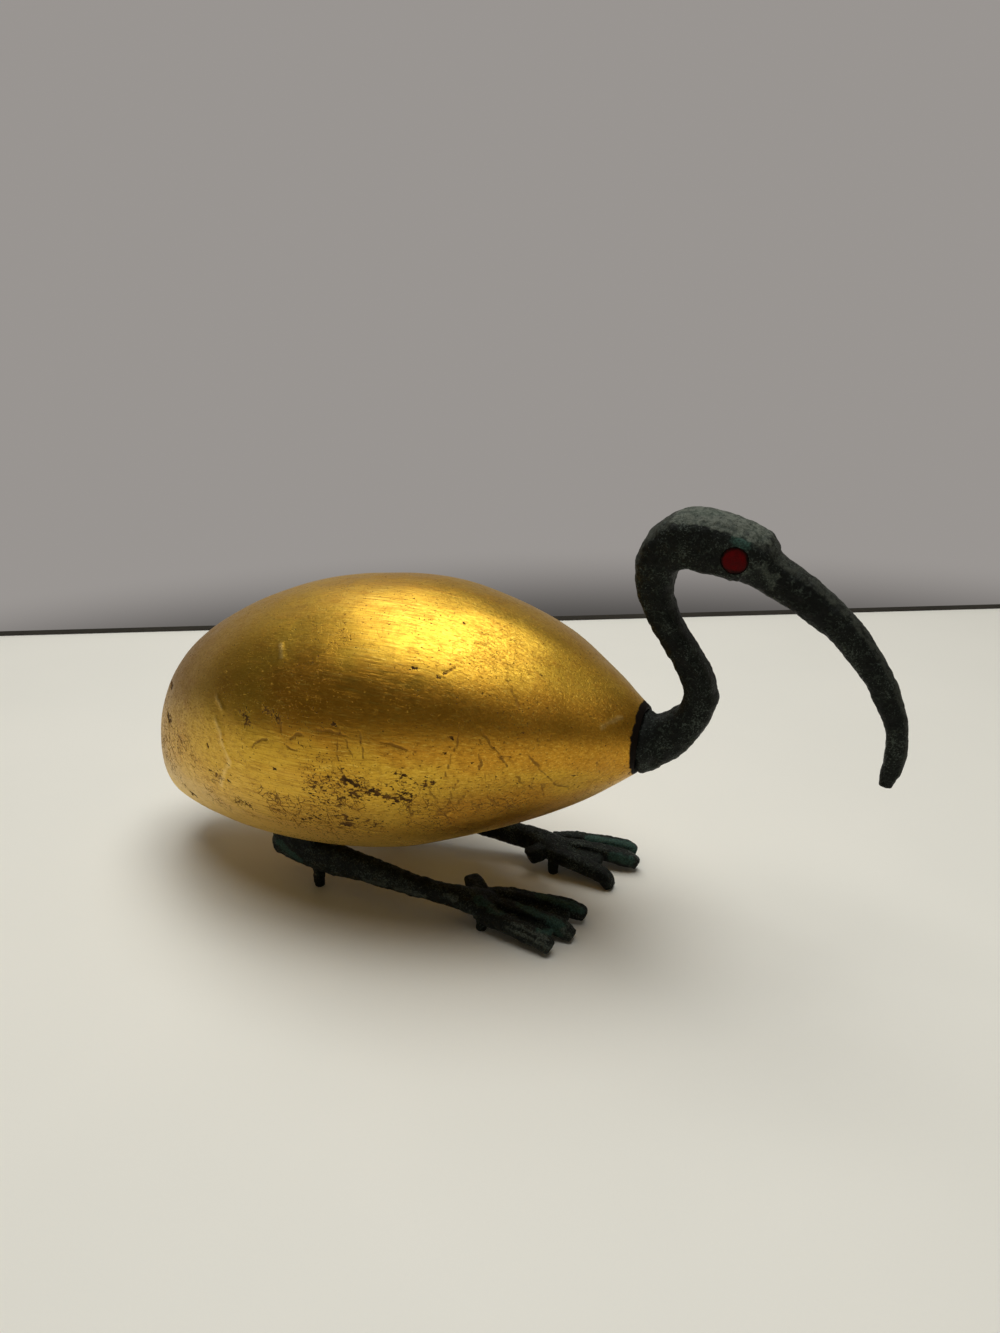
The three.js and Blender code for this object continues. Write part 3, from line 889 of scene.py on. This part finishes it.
def make_toe(pose, toe, claw=1.0, square=toe_square, end_round=toe_round):
    stations = [
        station(toe_place(pose, toe, along) - (0, 0, claw_drop * claw * drop), height * toe_height,
                width * toe_width, square)
        for along, height, width, drop in toe_stations
    ]
    return leg_limb("toe", stations, end_round=end_round)


def make_web(pose, first, second, end):
    stations = []
    for along in (web_start, (web_start + end) / 2, end):
        inner = toe_place(pose, first, along)
        outer = toe_place(pose, second, along)
        at = (inner + outer) / 2 - (0, 0, web_sag)
        stations.append(station(at, web_thickness, np.linalg.norm(inner - outer)))
    return leg_limb("web", stations, end_round=1)


def make_tang(pose, forward, out, height):
    foot = leg_place(pose, forward, out, 0)
    steps = np.linspace(0, 1, tang_rings)
    radius = (tang_foot_width + (tang_top_width - tang_foot_width) * steps) / 2
    return disc("tang", list(zip(radius, steps * height)), tang_points, foot, (0, 0, 1))


def belly_height(x, y, grow):
    """Height of the body's underside over places on the ground."""
    middle, wide, high, edge = section_at(x)
    inside = np.clip(1 - (y / (wide + grow)) ** 2, 0, 1)
    return middle - (high + grow) * np.minimum(np.sqrt(inside), np.sin(edge))


def make_riser(pose):
    """Block from behind the hock up to the belly, whose top follows the belly."""
    low = leg_place(pose, riser_forward * leg_span, 0, riser_up * leg_span)
    lean = leg_place(pose, (riser_forward - riser_lean) * leg_span, 0, riser_up * leg_span) - low
    run = leg_place(pose, leg_span, 0, 0) - leg_place(pose, 0, 0, 0)
    run = run / np.linalg.norm(run)
    across = np.cross((0, 0, 1), run)
    wide, high = section_points(riser_points, [riser_square], [0])
    ring = low + np.outer(wide[0] * riser_width / 2, across) + np.outer(high[0] * riser_length / 2, run)
    top = belly_height(ring[:, 0], ring[:, 1], seat_gap)
    rows = []
    for share in np.linspace(0, 1, riser_rings):
        up = (top - low[2]) * share
        rows.append(ring + np.outer(up / (shoulder_height - low[2]), lean) + np.outer(up, (0, 0, 1)))
    return tube("riser", np.array(rows))


def make_leg(pose):
    """One bronze leg with its foot and tangs."""
    parts = [shank(pose), make_riser(pose)]
    parts += [make_toe(pose, toe, claw) for toe, claw in zip(pose["toes"], pose["claws"])]
    parts.append(make_toe(pose, pose["hind_toe"], 0, hind_toe_square, hind_toe_round))
    parts += [make_web(pose, pose["toes"][k], pose["toes"][k + 1], end) for k, end in enumerate(pose["webs"])]
    parts.append(make_tang(pose, 0, 0, hock_tang_height))
    parts.append(make_tang(pose, leg_span, pose["tang_out"] * foot_length, foot_tang_height))
    leg = joined(parts, "bronze_" + pose["name"])
    applied(leg, "REMESH", mode="VOXEL", voxel_size=leg_voxel * MM)
    points, normals = points_of(leg)
    waves = [(seed + pose["side"], length, height) for seed, length, height in leg_waves]
    standing = smoothstep(points[:, 2], *foot_calm)
    points = points + normals * (waves_at(points, waves) * standing)[:, None]
    points[:, 2] = np.clip(points[:, 2], 0, belly_height(points[:, 0], points[:, 1], seat_gap))
    put_points(leg, points)
    put_masks(leg, drawn_masks(leg, leg_marks[pose["name"]]))
    return leg


def feed(socket, value):
    """Links or sets one input."""
    if isinstance(value, bpy.types.NodeSocket):
        socket.id_data.links.new(value, socket)
    else:
        socket.default_value = value


def add_node(tree, kind, inputs=None, **settings):
    """New node with its settings and inputs."""
    made = tree.nodes.new(kind)
    for key, value in settings.items():
        setattr(made, key, value)
    for key, value in (inputs or {}).items():
        feed(made.inputs[key], value)
    return made


def coordinate(tree, kind):
    return add_node(tree, "ShaderNodeTexCoord").outputs[kind]


def component(vector, name):
    return add_node(vector.id_data, "ShaderNodeSeparateXYZ", {"Vector": vector}).outputs[name]


def number(operation, *values):
    """Result of one operation on numbers, of which the first is a socket."""
    made = add_node(values[0].id_data, "ShaderNodeMath", dict(enumerate(values)), operation=operation)
    return made.outputs["Value"]


def times(*values):
    return reduce(partial(number, "MULTIPLY"), values)


def summed(*values):
    return reduce(partial(number, "ADD"), values)


def highest(*values):
    return reduce(partial(number, "MAXIMUM"), values)


def plus(base, value, part):
    """Base with a part of a value added."""
    return number("MULTIPLY_ADD", value, part, base)


def vector(operation, *values, output="Vector"):
    """Result of one operation on vectors, of which the first is a socket."""
    made = add_node(values[0].id_data, "ShaderNodeVectorMath", dict(enumerate(values)), operation=operation)
    return made.outputs[output]


def millimetres(tree, stretch=(1, 1, 1)):
    """Place in the piece in millimetres, drawn out along the axes."""
    return vector("MULTIPLY", coordinate(tree, "Object"), [1 / (MM * s) for s in stretch])


def ramp(value, low, high, start=0.0, end=1.0):
    """Value taken smoothly from start at low to end at high."""
    made = add_node(value.id_data, "ShaderNodeMapRange", {0: value, 1: low, 2: high, 3: start, 4: end},
                    interpolation_type="SMOOTHSTEP")
    return made.outputs["Result"]


def mix(share, *colours):
    """Mix of two colours, each given as numbers or as a socket."""
    first, second = (c if isinstance(c, bpy.types.NodeSocket) else (*c, 1) for c in colours)
    # The node's inputs 6 and 7 and its output 2 are the ones for colours
    made = add_node(share.id_data, "ShaderNodeMix", {0: share, 6: first, 7: second}, data_type="RGBA")
    return made.outputs[2]


def noise(place, length, detail=2.0, roughness=0.5, warp=0.0):
    """Noise of about a length, around 0.5."""
    made = add_node(place.id_data, "ShaderNodeTexNoise", {
        "Vector": place, "Scale": 1 / length, "Detail": detail, "Roughness": roughness, "Distortion": warp})
    return made.outputs["Fac"]


def cell_edges(place, length, warp, warp_length):
    """Distance in millimetres from the edges of warped cells."""
    tree = place.id_data
    shift = add_node(tree, "ShaderNodeTexNoise", {"Vector": place, "Scale": 1 / warp_length, "Detail": 3})
    centred = vector("SUBTRACT", shift.outputs["Color"], (0.5, 0.5, 0.5))
    moved = vector("MULTIPLY_ADD", centred, (warp, warp, warp), place)
    cells = add_node(tree, "ShaderNodeTexVoronoi", {"Vector": moved, "Scale": 1 / length},
                     feature="DISTANCE_TO_EDGE")
    return times(cells.outputs["Distance"], length)


def ragged(value, grain, low, high, part=1.0):
    """Value cut to a crisp ragged edge by a grain."""
    return ramp(plus(value, number("SUBTRACT", grain, 0.5), part), low, high)


class Look:
    """Material in the making: its shader, its tones, its place in millimetres and its colour so far."""

    def __init__(self, name, tones):
        self.material = bpy.data.materials.new(name)
        self.material.use_nodes = True
        self.tree = self.material.node_tree
        self.tones = tones
        self.place = millimetres(self.tree)
        self.colour = None

    def mask(self, name):
        """Value kept for each point of the piece."""
        return add_node(self.tree, "ShaderNodeAttribute", attribute_name=name).outputs["Fac"]

    def mixed(self, share, *tones):
        """Mix of two of its tones."""
        return mix(share, *(self.tones[tone] for tone in tones))

    def paint(self, share, colour, part=None):
        """Lays one of its tones or a mix of them over the colour so far, by a share or by a part of it."""
        colour = self.tones[colour] if isinstance(colour, str) else colour
        self.colour = mix(times(share, part) if part else share, self.colour, colour)

    def finish(self, inputs, layers=()):
        """The material, with inputs of its shader, and bumps as layers of height and depth in millimetres."""
        shader = self.tree.nodes["Principled BSDF"]
        for name, value in {"Base Color": self.colour, **inputs}.items():
            feed(shader.inputs[name], value)
        if layers:
            height = summed(*(times(layer, depth * MM) for layer, depth in layers))
            bump = add_node(self.tree, "ShaderNodeBump", {"Height": height, "Strength": 1.0, "Distance": 1.0})
            feed(shader.inputs["Normal"], bump.outputs["Normal"])
        return self.material


# Directions of the gold's crossed scratches, and how a scratch is drawn out
scratch_angles = (25, -40, 75)
scratch_stretch = (0.07, 1, 1)


def scratches(place, degrees):
    """Fine scratches on the body's side, at an angle."""
    turned = add_node(place.id_data, "ShaderNodeVectorRotate",
                      {"Vector": place, "Angle": math.radians(degrees)}, rotation_type="Y_AXIS")
    drawn_out = vector("MULTIPLY", turned.outputs["Vector"], scratch_stretch)
    return ramp(noise(drawn_out, 0.75, 3, 0.6, 0.4), 0.56, 0.7)


# Tones of the gold leaf, of what shows through it and of what lies on it, and of the reflections, highlight and
# shade painted on it
gold_tones = dict(
    leaf=(0.68, 0.41, 0.042), leaf_cloud=(0.62, 0.35, 0.034), warm_shade=(0.58, 0.25, 0.022),
    wide_streak=(0.54, 0.25, 0.028), mottle=(0.4, 0.19, 0.02), streak=(0.34, 0.155, 0.018),
    bright_streak=(0.78, 0.5, 0.07), hairline=(0.3, 0.15, 0.02), bright_hair=(0.95, 0.68, 0.13),
    grain=(0.3, 0.14, 0.018), pale_low_rear=(0.6, 0.42, 0.15), underside=(0.95, 0.66, 0.17),
    painted_dark_reflection=(0.33, 0.17, 0.022), ridge_highlight=(0.9, 0.66, 0.24), worn_edge=(0.17, 0.07, 0.016),
    crack=(0.16, 0.07, 0.012), bole=(0.06, 0.027, 0.005), bole_light=(0.15, 0.07, 0.012),
    stain_and_shade=(0.006, 0.003, 0.001),
)

# Where tones of the gold set in, as places along the body and heights over the table in millimetres
crackle_up = (84, 64)
speck_up = (96, 70)
# Places where a paler, greyer tone lies low at the rear
pale_low_rear_along = (tail_x + 90, tail_x + 12)
pale_low_rear_up = (66, 44)
# Height under which a brighter tone is painted on the gold: a painted reflection of the bright table
underside_up = (52, 34)
# Places where a darker, browner tone is painted high on the rear: a painted dark reflection
painted_dark_reflection_along = (tail_x + 80, tail_x + 14)
painted_dark_reflection_up = (66, 88)
# Near-black band at the front end by the collar: partly a stain, partly painted shade beside the collar
stain_and_shade_along = (tail_x + body_length - 3.6, tail_x + body_length - 0.8)


def gold_crackle(place, cloud, mottle):
    """Procedural cracks in clouds of their own, most of them low on the body."""
    wide = times(ramp(cell_edges(place, 12, 7, 8), 0.26, 0.08), ramp(cloud, 0.46, 0.58))
    fine = times(ramp(cell_edges(place, 4.5, 4, 4), 0.19, 0.05), ramp(noise(place, 16, 1), 0.46, 0.58))
    low = ramp(component(place, "Z"), *crackle_up, 0.15, 1)
    return times(highest(wide, fine), ramp(mottle, 0.34, 0.5), low)


def gold_losses(look, cloud, grain, fleck):
    """Places that have lost their leaf: those drawn after the photograph, and procedural specks."""
    spot = ragged(look.mask("spot"), grain, 0.42, 0.56, 1.8)
    patch = ragged(look.mask("patch"), fleck, 0.98, 1.12, 5.5)
    patch = times(patch, ramp(look.mask("patch"), 0, 0.12))
    core = ragged(look.mask("core"), fleck, 0.38, 0.52, 2.6)
    sparse = plus(times(ramp(cloud, 0.36, 0.66), 0.16), ramp(component(look.place, "Z"), *speck_up), 0.06)
    return highest(spot, patch, core, ragged(sparse, grain, 0.36, 0.42, 1.6))


def gold_leaf():
    """Burnished leaf over red bole: brushed, with hairlines, fine cracks, specks and worn patches, and with
    painted reflections, highlights and shade.
    """
    look = Look("gold_leaf", gold_tones)
    place = look.place
    brushed = millimetres(look.tree, (26, 1, 1))
    x = component(place, "X")
    z = component(place, "Z")
    cloud = noise(place, 30, 2)
    mottle = noise(place, 4, 5, 0.6)
    grain = noise(place, 0.9, 3, 0.6)
    fleck = noise(millimetres(look.tree, (1.5, 1, 1)), 1.2, 4, 0.64)
    streak = noise(brushed, 0.8, 4, 0.62)
    wide_streak = noise(brushed, 5, 2)
    hair = noise(millimetres(look.tree, (30, 1, 1)), 0.55, 2, 0.6, 0.6)
    hairline = ramp(hair, 0.6, 0.66)
    satin = ramp(look.mask("satin"), 0, 0.7)
    scratch = summed(*(scratches(place, degrees) for degrees in scratch_angles))
    scratch = times(scratch, ramp(satin, 0, 1, 0.12, 1))
    crack = ragged(look.mask("crack"), mottle, 0.62, 0.84, 0.25)
    lines = highest(times(crack, 0.54), times(gold_crackle(place, cloud, mottle), 0.8))
    lost = gold_losses(look, cloud, grain, fleck)
    edge = ragged(look.mask("edge"), mottle, 0.55, 0.75, 1.6)
    ridge_highlight = ragged(look.mask("ridge_highlight"), mottle, 0.2, 1, 0.8)
    stain_and_shade = ragged(ramp(x, *stain_and_shade_along), mottle, 0.4, 0.7, 1.2)

    # Each paint: where it lies, its tone and its strength
    look.colour = look.mixed(ramp(cloud, 0.35, 0.65), "leaf", "leaf_cloud")
    # Painted shade: a darker, redder tone along the dark reflection band
    look.paint(ramp(look.mask("warm_shade"), 0, 0.6), "warm_shade", 0.7)
    look.paint(ramp(wide_streak, 0.5, 0.72), "wide_streak", 0.35)
    look.paint(ramp(mottle, 0.5, 0.66), "mottle", 0.28)
    look.paint(ramp(streak, 0.52, 0.64), "streak", 0.42)
    look.paint(ramp(streak, 0.48, 0.38), "bright_streak", 0.3)
    look.paint(hairline, "hairline", 0.3)
    look.paint(ramp(hair, 0.4, 0.33), "bright_hair", 0.4)
    look.paint(ramp(grain, 0.54, 0.66), "grain", 0.3)
    pale_low_rear = times(ramp(x, *pale_low_rear_along), ramp(z, *pale_low_rear_up))
    underside = ramp(z, *underside_up)
    painted_dark_reflection = times(ramp(x, *painted_dark_reflection_along), ramp(z, *painted_dark_reflection_up))
    # Paler, greyer tone low at the rear
    look.paint(pale_low_rear, "pale_low_rear", 0.62)
    # Painted reflection of the bright table: a brighter tone low on the body
    look.paint(underside, "underside", 0.6)
    # Painted dark reflection high on the rear
    look.paint(painted_dark_reflection, "painted_dark_reflection", 0.5)
    # Painted highlight along the raised creases
    look.paint(ridge_highlight, "ridge_highlight", 0.45)
    look.paint(edge, "worn_edge", 0.75)
    look.paint(lines, "crack")
    look.paint(lost, look.mixed(ramp(mottle, 0.42, 0.58), "bole", "bole_light"))
    # Stain and painted shade at the front end by the collar
    look.paint(stain_and_shade, "stain_and_shade")

    dull = highest(lost, lines, stain_and_shade)
    rough = ramp(streak, 0.3, 0.7, 0.29, 0.4)
    for value, part in ((ramp(mottle, 0.4, 0.65), 0.06), (satin, 0.13), (underside, 0.12),
                        (hairline, 0.1), (dull, 0.35)):
        rough = plus(rough, value, part)
    return look.finish(
        {"Metallic": ramp(dull, 0, 1, 1, 0.12), "Roughness": number("MINIMUM", rough, 0.85),
         "Specular IOR Level": 0.12},
        [(streak, 0.075), (wide_streak, 0.09), (mottle, 0.08), (hairline, -0.014), (scratch, -0.045),
         (lines, -0.14), (lost, -0.09)])


# Tones of the patina, its grey-green places and its pits
bronze_tones = dict(
    patina=(0.0018, 0.0027, 0.0013), patina_cloud=(0.0048, 0.007, 0.0038), curl=(0.034, 0.044, 0.033),
    fleck=(0.085, 0.105, 0.085), strip=(0.046, 0.05, 0.037), dust_and_sheen=(0.03, 0.036, 0.026),
    green=(0.044, 0.098, 0.075), crown=(0.046, 0.058, 0.042), crown_light=(0.132, 0.145, 0.114),
    pale=(0.04, 0.05, 0.04), pale_light=(0.11, 0.125, 0.1), pit=(0.002, 0.003, 0.002),
)


def bronze_patina():
    """Near-black green patina, pitted, with grey-green dust and a painted sheen of the light on what looks up,
    and verdigris in places.
    """
    look = Look("bronze_patina", bronze_tones)
    place = look.place
    cloud = noise(place, 9, 3)
    mottle = noise(place, 2.4, 5, 0.65)
    grain = noise(place, 0.7, 4, 0.7)
    look.colour = look.mixed(ramp(cloud, 0.35, 0.65), "patina", "patina_cloud")
    curl = ramp(cell_edges(place, 3.4, 5, 2.6), 0.36, 0.16)
    curl = times(curl, ramp(mottle, 0.48, 0.6))
    look.paint(curl, "curl", 0.7)
    fleck = ragged(times(cloud, 0.5), grain, 0.32, 0.38)
    look.paint(fleck, "fleck", 0.75)
    # Paler strip: a painted sheen of the light
    strip = times(look.mask("strip"), ramp(mottle, 0.4, 0.58, 0.12, 0.85))
    look.paint(strip, "strip")
    # Dust on the faces that look up, partly a painted sheen of the light from above
    rising = ramp(component(coordinate(look.tree, "Normal"), "Z"), 0.45, 0.95)
    dust_and_sheen = times(rising, ramp(mottle, 0.4, 0.62, 0.12, 0.75))
    look.paint(dust_and_sheen, "dust_and_sheen", 0.2)
    green = ragged(look.mask("green"), mottle, 0.15, 0.65, 1.3)
    look.paint(times(green, ramp(grain, 0.4, 0.62, 0.35, 0.95)), "green")
    # Pale crown: dust, and a painted sheen of the light on its upward face
    crown = ragged(look.mask("crown"), mottle, 0.25, 0.9, 2.2)
    crown_grain = ramp(plus(times(mottle, 0.65), grain, 0.35), 0.42, 0.56)
    look.paint(crown, look.mixed(crown_grain, "crown", "crown_light"), 0.85)
    pale = ragged(look.mask("pale"), mottle, 0.2, 0.75, 2)
    pale_grain = ramp(grain, 0.42, 0.58)
    look.paint(pale, look.mixed(pale_grain, "pale", "pale_light"), 0.75)
    pit = ramp(noise(place, 1.1, 3, 0.6), 0.36, 0.3)
    look.paint(pit, "pit", 0.8)
    rough = plus(ramp(mottle, 0.3, 0.7, 0.5, 0.78), highest(pale, green), 0.15)
    return look.finish(
        {"Roughness": number("MINIMUM", rough, 0.9), "Specular IOR Level": 0.18},
        [(cloud, 0.35), (mottle, 0.5), (grain, 0.18), (pit, -0.28), (curl, 0.08), (fleck, 0.08)])


# Tones of the inlay
inlay_tones = dict(
    red=(0.085, 0.0008, 0.0013), red_light=(0.125, 0.0012, 0.002), speck=(0.02, 0.001, 0.001),
    rim=(0.009, 0.0035, 0.002),
)


def red_inlay():
    """Dull deep red, mottled and specked."""
    look = Look("red_inlay", inlay_tones)
    place = look.place
    mottle = noise(place, 1.6, 5, 0.65)
    grain = noise(place, 0.4, 3, 0.6)
    look.colour = look.mixed(ramp(mottle, 0.38, 0.62), "red", "red_light")
    look.paint(ramp(grain, 0.58, 0.68), "speck", 0.6)
    look.paint(ragged(look.mask("rim"), mottle, 0.5, 1.15, 1.3), "rim")
    return look.finish({"Roughness": ramp(mottle, 0.35, 0.65, 0.5, 0.75), "Specular IOR Level": 0.08},
                       [(mottle, 0.12), (grain, 0.05)])


# Tones of the table
table_tones = dict(pale=(0.855, 0.838, 0.745), pale_cloud=(0.875, 0.855, 0.76), speckle=(0.8, 0.78, 0.7))


def pale_table():
    """Matt pale table, very slightly uneven in tone."""
    look = Look("pale_table", table_tones)
    place = look.place
    speckle = noise(place, 1.2, 2)
    look.colour = look.mixed(ramp(noise(place, 130, 3), 0.3, 0.7), "pale", "pale_cloud")
    look.paint(ramp(speckle, 0.5, 0.8), "speckle", 0.1)
    return look.finish({"Roughness": 0.6}, [(speckle, 0.02)])


# Tones of the dark strip in the gap, a painted shadow
painted_shadow_gap_tones = dict(dark=(0.03, 0.027, 0.022), dim=(0.06, 0.054, 0.045))


def painted_shadow_gap():
    """Dark strip in the gap between the table and the wall, a painted shadow."""
    look = Look("painted_shadow_gap", painted_shadow_gap_tones)
    look.colour = look.mixed(noise(look.place, 40, 2), "dark", "dim")
    return look.finish({"Roughness": 0.9})


# Angle between faces in degrees past which their edge stays sharp
sharp_angle = 40


def finish_piece(made, node, material):
    """Gives a piece its material and its place in the model."""
    made.data.materials.clear()
    made.data.materials.append(material)
    made.data.shade_smooth()
    made.data.set_sharp_from_angle(angle=math.radians(sharp_angle))
    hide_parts(node)
    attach(made, "root")


gold = gold_leaf()
bronze = bronze_patina()
red = red_inlay()

finish_piece(make_body(), "body", gold)
finish_piece(make_head(), "head_and_neck", bronze)
for leg_pose in leg_poses:
    finish_piece(make_leg(leg_pose), leg_pose["name"], bronze)
for eye_side, eye_name in ((-1, "right_eye"), (1, "left_eye")):
    finish_piece(make_eye(eye_side, "inlay_" + eye_name), eye_name, red)


def make_camera():
    data = bpy.data.cameras.new("camera")
    data.lens = lens
    data.sensor_width = sensor
    camera = bpy.data.objects.new("camera", data)
    camera.location = camera_place
    camera.rotation_euler = (math.pi / 2 - camera_down, 0, camera_turn)
    bpy.context.collection.objects.link(camera)
    bpy.context.scene.camera = camera


make_camera()

# Floor whose far edge lies where the photograph's table ends, just below the feet, and the gap behind it
far_edge = ((0, 636), (1000, 608.5))
floor_half = 1.6
floor_depth = 1.8
floor_drop = Vector((0, 0, -0.0001))
gap_height = Vector((0, 0, 0.0036))


def staged(name, corners, material):
    """Flat piece of the set with four corners."""
    mesh = bpy.data.meshes.new(name)
    mesh.from_pydata(corners, [], [(0, 1, 2, 3)])
    mesh.materials.append(material)
    made = bpy.data.objects.new(name, mesh)
    bpy.context.collection.objects.link(made)


edge_left, edge_right = (on_floor(pixel) for pixel in far_edge)
edge_run = (edge_right - edge_left).normalized()
toward_camera = Vector((edge_run.y, -edge_run.x, 0)) * floor_depth
far_left, far_right = ((edge_left + edge_right) / 2 + edge_run * away for away in (-floor_half, floor_half))
floor_corners = (far_left, far_left + toward_camera, far_right + toward_camera, far_right)
staged("floor", [corner + floor_drop for corner in floor_corners], pale_table())
# The gap is a dark upright strip: a painted shadow at the foot of the wall
staged("gap", [far_left, far_right, far_right + gap_height, far_left + gap_height], painted_shadow_gap())

# Room round the table: a grey wall beyond it, a dim side behind the camera and a dark ceiling
wall_tone = (0.32, 0.3, 0.285)
dim_tone = (0.085, 0.074, 0.056)
ceiling_tone = (0.035, 0.033, 0.03)
# Where they set in, as parts of a direction of length 1, beyond the table or up. The foot of the walls is
# dimmer and slopes from left to right.
wall_side = (0.15, 0.75)
wall_foot = (-0.342, -0.262)
wall_foot_slope = 0.03
wall_foot_share = 0.2
ceiling_foot = (0.45, 0.8)


def make_room():
    world = bpy.data.worlds.new("room")
    bpy.context.scene.world = world
    world.use_nodes = True
    place = coordinate(world.node_tree, "Generated")
    up = component(place, "Z")
    beyond = (-math.sin(camera_turn), math.cos(camera_turn), 0)
    right = (math.cos(camera_turn), math.sin(camera_turn), 0)
    away, across = (vector("DOT_PRODUCT", place, way, output="Value") for way in (beyond, right))
    foot = ramp(plus(up, across, -wall_foot_slope), *wall_foot, wall_foot_share, 1)
    walls = vector("MULTIPLY", mix(ramp(away, *wall_side), dim_tone, wall_tone), foot)
    colour = mix(ramp(up, *ceiling_foot), walls, ceiling_tone)
    feed(world.node_tree.nodes["Background"].inputs["Color"], colour)


make_room()

# Oval lamps over the table: direction and height in degrees, length and width in metres, and the share of
# light that each gives the floor below
lamps = dict(
    ceiling_lamp=(146, 83.8, 1.28, 1.25, 0.69),
    front_lamp=(5, 76, 0.55, 0.5, 0.13),
    far_lamp=(140, 52, 0.55, 0.55, 0.06),
)
lamp_distance = 1.4
lamp_turn = math.radians(-16)


def make_lamp(name, direction, height, length, width, floor_light):
    azimuth = math.radians(direction)
    elevation = math.radians(height)
    data = bpy.data.lights.new(name, "AREA")
    data.shape = "ELLIPSE"
    data.size = length
    data.size_y = width
    # Light on the floor falls with the square of the distance and grows with the sine of the elevation
    data.energy = floor_light * math.pi**2 * lamp_distance**2 / math.sin(elevation)
    aim = Vector((math.cos(azimuth) * math.cos(elevation), math.sin(azimuth) * math.cos(elevation),
                  math.sin(elevation)))
    across = aim.cross((math.cos(lamp_turn), math.sin(lamp_turn), 0)).normalized()
    made = bpy.data.objects.new(name, data)
    turn = Matrix((across.cross(aim), across, aim)).transposed()
    made.matrix_world = Matrix.Translation(aim * lamp_distance) @ turn.to_4x4()
    bpy.context.collection.objects.link(made)


for lamp_name, values in lamps.items():
    make_lamp(lamp_name, *values)

scene = bpy.context.scene
scene.view_settings.view_transform = "Standard"
